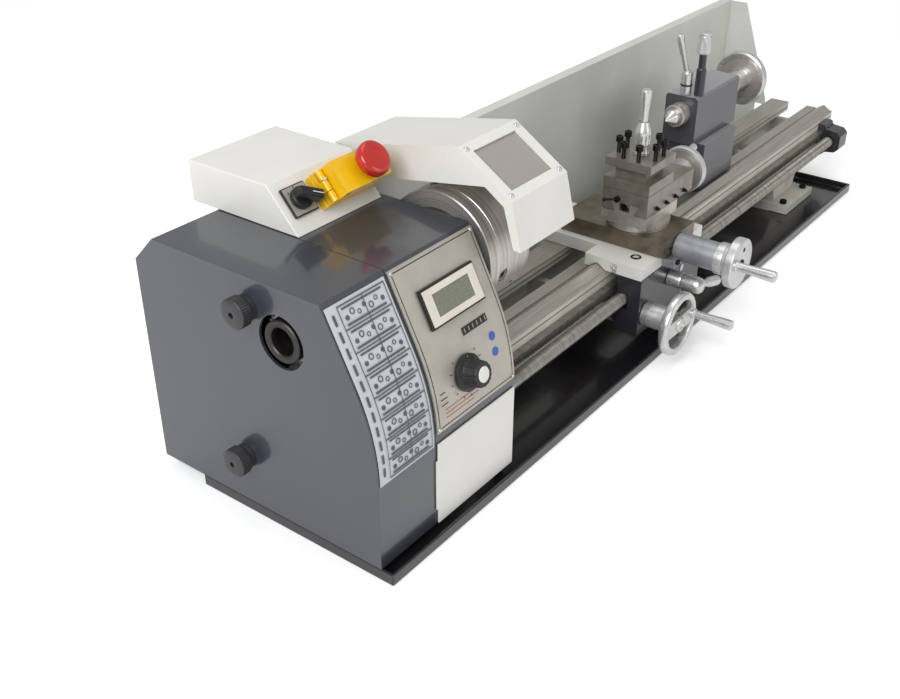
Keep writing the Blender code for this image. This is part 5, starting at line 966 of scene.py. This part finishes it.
def make_guard():
    softened("chuck_guard", IVORY, 0.7, 3)
    softened("guard_bracket", IVORY, 0.4)
    coated("guard_window", WINDOW)
    left, right = low("chuck_guard").x, high("chuck_guard").x
    top, bottom = Vector((0, -29, 321.5)), Vector((0, -88.5, 283.5))
    down = (bottom - top).normalized()
    normal = Vector((0, down.z, -down.y))
    length = (bottom - top).length
    screws = bmesh.new()
    for x in (left + 6, right - 6):
        for along in (6, length - 6):
            pan_screw(Vector((x, 0, 0)) + top + down * along + normal * 0.05, normal, 2.6, screws)
    piece("guard_window_screws", screws, "guard", CHROME)
    pivot = bmesh.new()
    spot = Vector((high("guard_bracket").x, 106, 274.5))
    lathe([(0, 0), (6, 0), (6, 3), (5, 4), (0, 4)], spot - X * 5, X, 48, pivot)
    piece("guard_pivot_nut", pivot, "frame", CHROME)


# ---- carriage ------------------------------------------------------------------------------

def dial(name, foot, direction, radius, length, body, look, divisions=50):
    """A graduated collar: a turned ring with lines round its edge."""
    ring = [(radius * 0.4, 0), (radius - 0.4, 0), (radius, 0.4), (radius, length * 0.55),
            (radius - 0.5, length * 0.6),
            (radius, length * 0.65), (radius, length - 0.6), (radius - 0.6, length),
            (radius * 0.4, length)]
    collar = lathe(ring, foot, direction, 96)
    piece(name, collar, body, look)
    lines = bmesh.new()
    for step in range(divisions):
        angle = math.tau * step / divisions
        reach = (0.42 if step % 10 == 0 else 0.32 if step % 5 == 0 else 0.22) * length
        slab((radius - 0.2, -0.12, 0.5), (radius + 0.04, 0.12, 0.5 + reach), 0, into=lines,
             frame_matrix=Matrix.Rotation(angle, 4, "Z"))
    put(lines, at(foot, direction))
    piece(f"{name}_lines", lines, body, PRINT)


def spinner(foot, direction, length, root, tip, into=None):
    """A turned hand-wheel handle, waisted at its root and domed at its tip."""
    profile = [(0, 0), (root * 1.25, 0), (root * 1.25, 2), (root, 3.2), (root * 0.98, length * 0.35),
               (tip, length * 0.8), (tip, length - 1.6), (tip * 0.8, length - 0.3), (0, length)]
    return lathe(profile, foot, direction, 48, into)


def make_carriage():
    softened("saddle", IVORY, 0.9, 3)
    softened("apron", BLUE_BLACK, 1.0, 3)
    face, front = low("apron").y, low("saddle").y
    for side, name in ((-1, "left"), (1, "right")):
        cover = slab((CARRIAGE_X + side * 74.1 - 0.1, front + 31, BED_TOP + 1.0),
                     (CARRIAGE_X + side * 76.2, front + 38, BED_TOP + 12), 0.4, 2)
        piece(f"way_wiper_{name}", cover, "carriage", CHROME)
        screw = pan_screw((CARRIAGE_X + side * 76.0, front + 34.5, BED_TOP + 7), X * side, 2.0)
        piece(f"way_wiper_screw_{name}", screw, "carriage", CHROME)
    oiler = lathe([(0, 0), (4.4, 0), (4.4, 0.5), (3.2, 0.9), (1.3, 0.9),
                   (1.3, 0.5), (0, 0.5)], (CARRIAGE_X + 26, face - 0.05, 78), -Y, 40)
    piece("apron_oiler", oiler, "carriage", CHROME)
    plugs = bmesh.new()
    for side in (-1, 1):
        cap_screw((CARRIAGE_X + side * 50, -72, BED_TOP + 9.3), Z, 3.8, 3.0, plugs)
    piece("saddle_oil_plugs", plugs, "carriage", BLACKENED)
    # Flat dark rings round the oil plugs on the saddle top are painted shade, making the oil holes look
    # dark and wide.
    oil_hole_shade_rings = bmesh.new()
    for side in (-1, 1):
        lathe(disc(6.2, 0.25, 3.9),
              (CARRIAGE_X + side * 50, -72, BED_TOP + 15), Z, 48, oil_hole_shade_rings)
    piece("saddle_oil_hole_painted_shade", oil_hole_shade_rings, "carriage", BLACKENED)
    make_feed()
    make_handwheel()
    make_half_nut_lever()


def make_feed():
    """Cross feed bracket, graduated collar and oval crank with its straight handle."""
    start, axis_z = high("crossfeed_crank").y, middle("crossfeed_screw").z
    bracket_front = low("crossfeed_bracket").y
    centre = Vector((CARRIAGE_X, low("cross_slide").y - 0.3, axis_z))
    reach = centre.y - bracket_front
    barrel = lathe([(5, 0), (15.4, 0), (16.5, 1.2), (16.5, reach - 1.2), (15.5, reach),
                    (5, reach)], centre, -Y, 96)
    slab((CARRIAGE_X - 26, centre.y - 10, BED_TOP + 0.4),
         (CARRIAGE_X + 26, low("saddle").y - 0.3, low("cross_slide").z - 0.6), 0.8, 3, barrel)
    piece("crossfeed_bracket_turned", barrel, "carriage", GUNMETAL, ["crossfeed_bracket"])
    screws = bmesh.new()
    for side in (-1, 1):
        cap_screw((CARRIAGE_X + side * 20.5, centre.y - 9.8, BED_TOP + 8), -Y, 3.4, 3, screws)
    piece("crossfeed_bracket_screws", screws, "carriage", BLACKENED)
    foot = Vector((CARRIAGE_X, bracket_front - 0.3, axis_z))
    dial("crossfeed_dial", foot, -Y, 18.5, foot.y - start - 0.3, "cross_feed", ALUMINIUM)
    shaft = bar((CARRIAGE_X, start + 0.3, axis_z), (CARRIAGE_X, high("crossfeed_screw").y, axis_z), 4.5,
                ease=0.6)
    piece("crossfeed_shaft", shaft, "cross_feed", GROUND, ["crossfeed_screw"])
    front, stretch, end_r, tilt = start - 11, 1.5, 27.5, math.radians(-14)
    place = Matrix.Rotation(tilt, 2)
    outline = []
    for step in range(96):
        angle = math.tau * step / 96
        spot = place @ Vector((end_r * math.cos(angle),
                               end_r * math.sin(angle) + math.copysign(stretch, math.sin(angle))))
        outline.append((CARRIAGE_X + spot.x, axis_z + spot.y))
    crank = extruded(outline, "Y", front, start, 1.8, 4)
    piece("crossfeed_crank_disc", crank, "cross_feed", ALUMINIUM, ["crossfeed_crank"], 50)
    nut = lathe([(0, 0), (5.4, 0), (5.4, 0.9), (4.2, 1.6), (0, 1.6)],
                (CARRIAGE_X, front, axis_z), -Y, 48)
    piece("crossfeed_crank_nut", nut, "cross_feed", BLACKENED)
    # Two flat dark discs laid on the crank's front face.
    dark_spot_discs = bmesh.new()
    for across, up in ((12.5, -11.0), (3.0, 16.5)):
        lathe(disc(2.6, 0.3),
              (CARRIAGE_X + across, front, axis_z + up), -Y, 32, dark_spot_discs)
    piece("crossfeed_crank_dark_spots", dark_spot_discs, "cross_feed", BLACKENED)
    angle = math.radians(165)
    spot = Vector((CARRIAGE_X + 16 * math.cos(angle), front, axis_z + 16 * math.sin(angle)))
    piece("crossfeed_crank_handle", spinner(spot, -Y, 47, 5.2, 6.4), "cross_feed", CHROME)


def make_handwheel():
    """Apron handwheel: rounded rim, flat spoke, graduated hub and handle."""
    start, end = box("apron_handwheel")
    x, z = (start.x + end.x) / 2, (start.z + end.z) / 2
    radius, width, front = (end.z - start.z) / 2, 11, -140
    rim = [(radius - 8.5, 1.6), (radius - 7, 0.2), (radius - 2.6, 0),
           (radius - 0.8, 1.2), (radius, 3.6), (radius, 7.4), (radius - 0.8, 9.8),
           (radius - 2.6, width), (radius - 7, width - 0.2), (radius - 8.5, width - 1.6)]
    wheel = lathe(rim, (x, front + width, z), -Y, 144)
    reach = radius - 5
    slab((x - reach, front + 1.4, z - 10), (x + reach, front + width - 1.4, z + 10), 1.4, 3,
         wheel)
    lathe([(0, 0), (9, 0), (9, 1.2), (8, 2.2), (4.5, 2.2), (4.5, 1.4),
           (0, 1.4)], (x, front + 1.4, z), -Y, 64, wheel)
    face = low("apron").y - 0.3
    bar((x, front + width - 2, z), (x, face, z), 12, ease=0.6, sides=72, into=wheel)
    bar((x, face - 1, z), (x, end.y, z), 5.7, ease=0.4, into=wheel)
    piece("apron_handwheel_turned", wheel, "carriage_wheel", CHROME, ["apron_handwheel"], 50)
    dial("apron_dial", Vector((x, face - 0.2, z)), -Y, 14.5, face - front - width - 1.5,
         "carriage_wheel", ALUMINIUM, 80)
    spot = Vector((x + radius - 5.25, front + 1.5, z))
    piece("apron_handwheel_handle", spinner(spot, -Y, 48.3, 4.8, 6.0), "carriage_wheel", CHROME)


def make_half_nut_lever():
    x, z = -15, 78
    face, front = low("apron").y - 0.3, low("half_nut_lever").y
    reach = face - front
    hub = lathe([(0, 0), (9.2, 0), (10, 0.8), (10, reach * 0.35), (9, reach * 0.38), (9, reach * 0.42),
                 (10, reach * 0.45), (10, reach - 9), (9.2, reach - 4), (6.6, reach - 1), (0, reach)],
                (x, face, z), -Y, 72)
    piece("half_nut_hub", hub, "half_nut_control", CHROME, ["half_nut_lever"], 50)
    start = Vector((x + 4, front + 8, z - 1))
    end = Vector((x + 50, front + 6, z - 13))
    run = (end - start).length
    grip = lathe([(0, 0), (4.0, 0), (4.2, run * 0.4), (6.0, run * 0.55), (6.2, run - 2), (5, run - 0.4),
                  (0, run)],
                 start, end - start, 48)
    piece("half_nut_grip", grip, "half_nut_control", CHROME, (), 50)


# ---- cross slide, compound and tool post ----------------------------------------------------

def grub_screws(name, spots, direction, radius, body):
    """Adjusting screws with lock nuts, in a row."""
    mesh = bmesh.new()
    for spot in spots:
        nut = bmesh.new()
        bmesh.ops.create_cone(nut, cap_ends=True, segments=6, radius1=radius * 1.9,
                              radius2=radius * 1.9, depth=2.2,
                              matrix=Matrix.Translation((0, 0, 1.1)))
        round_edges(nut, 0.25, 2)
        put(nut, at(spot, direction))
        joined(mesh, nut)
        cap_screw(Vector(spot) + Vector(direction) * 1.5, direction, radius, 3.2, mesh)
    return piece(name, mesh, body, BLACKENED)


def make_slides():
    """Cross slide, swivelling base and top slide, with their gib screws, scale and lock."""
    softened("cross_slide", OILED, 0.5)
    softened("compound_base", GROUND_ACROSS, 0.5)
    softened("top_slide", POST_STEEL, 0.5)
    cross, slide = high("cross_slide"), low("top_slide")
    spots = [(cross.x, -70 + 26 * step, 121) for step in range(4)]
    grub_screws("cross_gib_screws", spots, X, 1.5, "cross")
    spots = [(slide.x + 22 + 22 * step, slide.y, 163) for step in range(4)]
    grub_screws("top_gib_screws", spots, -Y, 1.4, "top")
    lines = bmesh.new()
    for step in range(25):
        tall = 4.6 if step % 6 == 0 else 3.0
        spot = (Matrix.Translation((CARRIAGE_X, -45, cross.z + 1))
                @ Matrix.Rotation(math.radians(-150 + step * 5), 4, "Z"))
        slab((36.3, -0.14, 0.4), (36.58, 0.14, tall), 0, into=lines, frame_matrix=spot)
    piece("swivel_scale", lines, "compound", PRINT)
    # A flat dark disc on the compound base's end face is painted shade, standing for the shaded lock
    # socket.
    hole = lathe(disc(5.2, 0.2),
                 (low("compound_base").x + 0.4, -45, 151), -X, 40)
    piece("compound_lock_socket_painted_shade", hole, "compound", BLACKENED)
    foot = Vector((slide.x + 0.2, -36, high("compound_base").z + 4.4))
    tip = foot + Vector((-15, 9, 2))
    lever = lathe([(0, 0), (3.4, 0), (3.4, 4), (2.6, 5), (0, 5)], foot, -X, 40)
    bar(foot - X * 3, tip, 1.3, ease=0.3, sides=20, into=lever)
    bmesh.ops.create_uvsphere(lever, u_segments=20, v_segments=12, radius=2.4,
                              matrix=Matrix.Translation(tip))
    piece("slide_lock_lever", lever, "top", BLACKENED)
    # A flat dark disc on the top slide's end face is painted shade, standing for the shaded hole at the
    # screw's end.
    hole = lathe(disc(4.2, 0.15),
                 (slide.x + 0.05, -45, 164), -X, 40)
    piece("top_slide_screw_hole_painted_shade", hole, "top", BLACKENED)
    make_compound_wheel()


def make_compound_wheel():
    """Compound feed dial and its disc wheel with a rounded rim."""
    y, z = -45, 164
    start, end = high("top_slide").x + 0.3, high("compound_handwheel").x
    face, radius = 92, 28.5
    shaft = bar((low("compound_handwheel").x, y, z), (start + 1, y, z), 3.5, ease=0.4)
    profile = [(0, 0), (11, 0), (11, 1.5), (15, 3), (radius - 6, 3.4),
               (radius - 4.6, 0.4), (radius - 1.4, 0), (radius, 1.6), (radius, 7.4),
               (radius - 1.4, 9), (radius - 4.4, 8.6), (radius - 6, 6.6),
               (13, 6.6), (11, 9), (5, 9), (5, 7.6), (0, 7.6)]
    lathe(profile, (face, y, z), X, 120, shaft)
    piece("compound_wheel_turned", shaft, "top_wheel", ALUMINIUM, ["compound_handwheel"], 40)
    web = lathe([(16, 2.2), (radius - 4.4, 2.2), (radius - 5.4, 3.6), (16, 3.6)],
                (face, y, z), X, 96)
    piece("compound_wheel_web", web, "top_wheel", PALE_DISC)
    dial("compound_dial", Vector((start, y, z)), X, 15, face - start - 0.6, "top_wheel", ALUMINIUM)
    spot = Vector((face + 8, y, z + radius - 7))
    piece("compound_wheel_handle", spinner(spot, X, end - spot.x, 3.0, 4.6), "top_wheel", CHROME)


def make_tool_post():
    """Four-way tool post: milled block, eight socket screws and a chrome clamping lever."""
    x, y, half = middle("tool_post").x, middle("tool_post").y, 29
    floor, slot, top, neck = 196, 13, 219, 19.5
    body = slab((x - half, y - half, low("tool_post").z), (x + half, y + half, floor), 0.5)
    slab((x - neck, y - neck, floor - 1), (x + neck, y + neck, floor + slot + 1), 0, into=body)
    slab((x - half, y - half, floor + slot), (x + half, y + half, top), 0.5, into=body)
    piece("tool_post_milled", body, "post", POST_STEEL, ["tool_post"])
    screws = bmesh.new()
    far, near = half - 6, 9.5
    places = [(a * far, b * near) for a in (1, -1) for b in (1, -1)]
    places += [(b * near, a * far) for a in (1, -1) for b in (1, -1)]
    for dx, dy in places:
        shank = [(0, 0), (2.5, 0)]
        for turn in range(9):
            shank += [(2.6, turn * 1.3 + 0.3), (2.2, turn * 1.3 + 0.95)]
        shank += [(2.4, 13), (0, 13)]
        lathe(shank, (x + dx, y + dy, top - 0.4), Z, 20, screws)
        cap_screw((x + dx, y + dy, top + 12.4), Z, 4.2, 6.6, screws)
    piece("tool_post_screws", screws, "post", BLACKENED)
    foot, tip = low("tool_post_lever").z, high("tool_post_lever").z
    hub = [(7.4, 0), (12.6, 0), (13.0, 0.5), (13.0, 2.0), (12.2, 2.9), (8.9, 3.2), (8.5, 5), (8.4, 10),
           (8.9, 11.4),
           (9.4, 13), (9.5, 24.6), (8.6, 28), (6.6, 33.5), (5.4, 37), (5.3, 37.4), (5.3, 8.6), (7.4, 8)]
    widest = (high("tool_post_lever").x - low("tool_post_lever").x) / 2
    turned_hub = lathe([(min(radius, widest), along) for radius, along in hub], (x, y, foot), Z, 96)
    piece("tool_post_lever_hub", turned_hub, "post_clamp", CHROME, ["tool_post_lever"], 50)
    start, run = foot + 34, tip - foot - 34
    grip = lathe([(0, 0), (4.2, 0), (4.3, run * 0.35), (5.5, run * 0.75), (6.2, run - 3),
                  (5.2, run - 0.8), (0, run)], (x, y, start), Z, 64)
    piece("tool_post_lever_grip", grip, "post_clamp", CHROME, (), 50)


# ---- tailstock -------------------------------------------------------------------------------

def make_tailstock():
    softened("tailstock_base", MACHINE_DARK, 0.9, 3)
    softened("tailstock_body", MACHINE_DARK, 0.9, 3)
    quill_low, quill_high = box("quill")
    length = quill_high.x - quill_low.x
    radius = 14
    profile = [(9.0, 0), (radius - 1.4, 0), (radius, 1.4), (radius, length), (6, length), (6, 45),
               (7.5, 45)]
    piece("quill_turned", lathe(profile, (quill_low.x, 0, SPINDLE.z), X), "tail_quill", CHUCK_STEEL,
          ["quill"])
    marks = bmesh.new()
    for step in range(8):
        tall = 3.4 if step % 5 == 0 else 2.2
        x = quill_low.x + 4 + step * 1.6
        slab((x - 0.1, -tall / 2, radius - 0.1), (x + 0.1, tall / 2, radius + 0.03), 0, into=marks,
             frame_matrix=Matrix.Translation(SPINDLE) @ Matrix.Rotation(math.radians(30), 4, "X"))
    piece("quill_marks", marks, "tail_quill", PRINT)
    tip = low("dead_centre").x
    centre = lathe([(0, 0), (0.4, 0.2), (9.2, 16), (9.2, quill_low.x - tip - 0.3),
                    (8.4, quill_low.x - tip - 0.3),
                    (7.2, high("dead_centre").x - tip), (0, high("dead_centre").x - tip)],
                   (tip, 0, SPINDLE.z), X)
    piece("dead_centre_turned", centre, "tail_quill", CHROME, ["dead_centre"], 25)
    face, back = low("tailstock_base").x, high("tailstock_base").x
    screws = bmesh.new()
    lathe(disc(5.4, 0.6, 3.0), (face, -8, 148), -X, 48,
          screws)
    cap_screw((face, -8, 148), -X, 3.4, 0.8, screws)
    cap_screw((face, 0, 112), -X, 3.6, 2.6, screws)
    cap_screw((back, 0, 112), X, 3.6, 2.6, screws)
    piece("tailstock_set_screws", screws, "tailstock", GROUND)
    make_tail_wheel()
    make_tail_levers()


def make_tail_wheel():
    """Tailstock handwheel: chrome rim, dished web, graduated hub and handle."""
    box_low, box_high = box("tailstock_handwheel")
    start, z = high("tailstock_body").x + 0.3, SPINDLE.z
    face, radius = 337, 36.5
    shaft = bar((box_low.x, 0, z), (start + 1, 0, z), 5.5, ease=0.5)
    hub = start - face
    profile = [(0, hub), (13.5, hub), (13.5, -2), (12, 0), (12, 3.2), (radius - 9, 3.8),
               (radius - 8, 0.8), (radius - 2.6, 0), (radius - 0.7, 1.2), (radius, 3.6), (radius, 7.4),
               (radius - 0.7, 9.8), (radius - 2.6, 11), (radius - 8, 10.2), (radius - 9, 7.2),
               (14, 7.6), (13, 13), (6, 14), (0, 14)]
    lathe(profile, (face, 0, z), X, 144, shaft)
    piece("tailstock_wheel_turned", shaft, "tail_wheel", CHROME, ["tailstock_handwheel"], 40)
    web = lathe([(17, 2.6), (radius - 7.6, 2.6), (radius - 8.6, 4), (17, 4)],
                (face, 0, z), X, 96)
    piece("tailstock_wheel_web", web, "tail_wheel", PALE_DISC)
    dial("tailstock_dial", Vector((start + 0.2, 0, z)), X, 16.5, 16, "tail_wheel", ALUMINIUM)
    spot = Vector((face + 9, 0, z - radius + 4.5))
    piece("tailstock_wheel_handle", spinner(spot, X, box_high.x - spot.x, 3.1, 4.6), "tail_wheel",
          CHROME)


def make_tail_levers():
    """Quill lock with a leaning chrome grip, and the clamp lever with a knurled top."""
    top = high("tailstock_body").z + 0.3
    foot, tip = Vector((174.5, 0, top)), Vector((164.5, 11, 303.5))
    lock = lathe([(0, -6), (3.8, -6), (3.8, 0), (6.5, 0), (7, 0.5), (7, 10.6),
                  (6.2, 11), (6.2, 12.6), (7, 13), (7, 26), (5, 29),
                  (0, 30)], foot, Z, 64)
    start = foot + Z * 24
    run = (tip - start).length
    lathe([(0, 0), (3.4, 0), (3.5, run * 0.3), (4.9, run * 0.8), (5.1, run - 2.4),
           (4.0, run - 0.6), (0, run)], start, tip - start, 56, lock)
    piece("quill_lock_chromed", lock, "quill_lock", CHROME, ["quill_lock_lever"], 50)
    ring = lathe(disc(7.5, 1.6, 6), foot + Z * 11, Z, 64)
    piece("quill_lock_ring", ring, "quill_lock", RUBBER)
    foot = Vector((180, -15.5, top))
    post = lathe([(0, -6), (3.8, -6), (3.8, 0), (6.2, 0), (6.2, 31.6),
                  (5.2, 33.8), (4.6, 34), (4.6, 55), (0, 55)], foot, Z, 56)
    piece("tailstock_clamp_post", post, "tail_clamp", BLUE_BLACK, ["tailstock_clamp_lever"], 50)
    run = 26.5
    knurl = lathe([(0, 0), (6.4, 0), (8, 1.2), (8, 6), (8, 12), (8, run - 5),
                   (7.4, run - 4), (8.2, run - 3.2), (8.2, run - 1), (7.2, run), (0, run)],
                  (0, 0, 0), Z, 72)
    for vert in knurl.verts:
        if 1.1 < vert.co.z < run - 4.6 and vert.co.xy.length > 7.6:
            vert.co.xy *= 1 + 0.045 * (round(math.atan2(vert.co.y, vert.co.x) / math.tau * 72) % 2)
    put(knurl, Matrix.Translation((foot.x, foot.y, 306.6 - run)))
    piece("tailstock_clamp_knurl", knurl, "tail_clamp", ALUMINIUM)


# ---- floor, light and camera ------------------------------------------------------------------

WORLD_LIGHT = 0.5
FLOOR_GLOW = 0.24


def make_stage():
    """A plain pale floor that shows white, and keeps the object's shadow."""
    mesh = bmesh.new()
    bmesh.ops.create_circle(mesh, cap_ends=True, segments=96, radius=14.0)
    floor, data = new_object("floor", mesh)
    made, tree, shader, place = new_material("pale_painted_floor")
    tone = add_node(tree, "ValToRGB", stops=((0, "#F4F4F4"), (1, "#F8F8F8")),
                    Fac=pattern(tree, place, 0.5))
    rays = add_node(tree, "LightPath")
    seen = add_node(tree, "Math", {"operation": "MAXIMUM"}, i0=rays.outputs["Is Camera Ray"],
                    i1=rays.outputs["Is Transmission Ray"])
    glow = add_node(tree, "Math", {"operation": "MULTIPLY"}, i0=seen, i1=FLOOR_GLOW)
    wire(tree, shader, Base_Color=tone, Roughness=0.9, Specular_IOR_Level=0.0,
         Emission_Color=(1, 1, 1, 1),
         Emission_Strength=glow)
    data.materials.append(made)


def make_world():
    """A white surround: full strength to the eye and through clear parts, softer as light."""
    world = bpy.data.worlds.new("studio")
    bpy.context.scene.world = world
    world.use_nodes = True
    tree = world.node_tree
    rays = add_node(tree, "LightPath")
    seen = add_node(tree, "Math", {"operation": "MAXIMUM"}, i0=rays.outputs["Is Camera Ray"],
                    i1=rays.outputs["Is Transmission Ray"])
    strength = add_node(tree, "MapRange", i0=seen, i3=WORLD_LIGHT, i4=1.0)
    wire(tree, tree.nodes["Background"], Color=(1, 1, 1, 1), Strength=strength)


def make_lamp(name, place, aim, size, power, colour=(1, 1, 1)):
    lamp = bpy.data.lights.new(name, "AREA")
    lamp.shape, lamp.size, lamp.energy, lamp.color = "DISK", size, power, colour
    made = bpy.data.objects.new(name, lamp)
    made.location = place
    made.rotation_euler = (Vector(aim) - Vector(place)).to_track_quat("-Z", "Y").to_euler()
    bpy.context.scene.collection.objects.link(made)


def make_camera():
    data = bpy.data.cameras.new("camera")
    data.sensor_width = 36
    data.lens = 45.11
    camera = bpy.data.objects.new("camera", data)
    camera.location = (-1.0993, -0.5963, 0.6837)
    camera.rotation_euler = (math.radians(90 - 31.11), 0, math.radians(37.19 - 90))
    bpy.context.scene.collection.objects.link(camera)
    bpy.context.scene.camera = camera


for make in (make_bed, make_rack, make_leadscrew, make_case, make_spindle, make_cover_knobs, make_panel,
             make_speed_knob, make_display, make_chart, make_electrical_box, make_stop_switch,
             make_chuck, make_guard, make_carriage, make_slides, make_tool_post, make_tailstock,
             make_stage, make_world):
    make()
make_lamp("key_from_the_left", (-3.2, -0.6, 2.4), (0, 0, 0.1), 2.6, 104, (0.97, 0.985, 1.0))
make_lamp("top_fill", (0.4, 0.4, 3.6), (0, 0, 0.1), 2.6, 26)
make_lamp("front_fill", (0.8, -3.4, 1.4), (0, 0, 0.1), 2.0, 17, (1.0, 0.985, 0.96))
make_camera()
bpy.context.scene.view_settings.view_transform = "Standard"
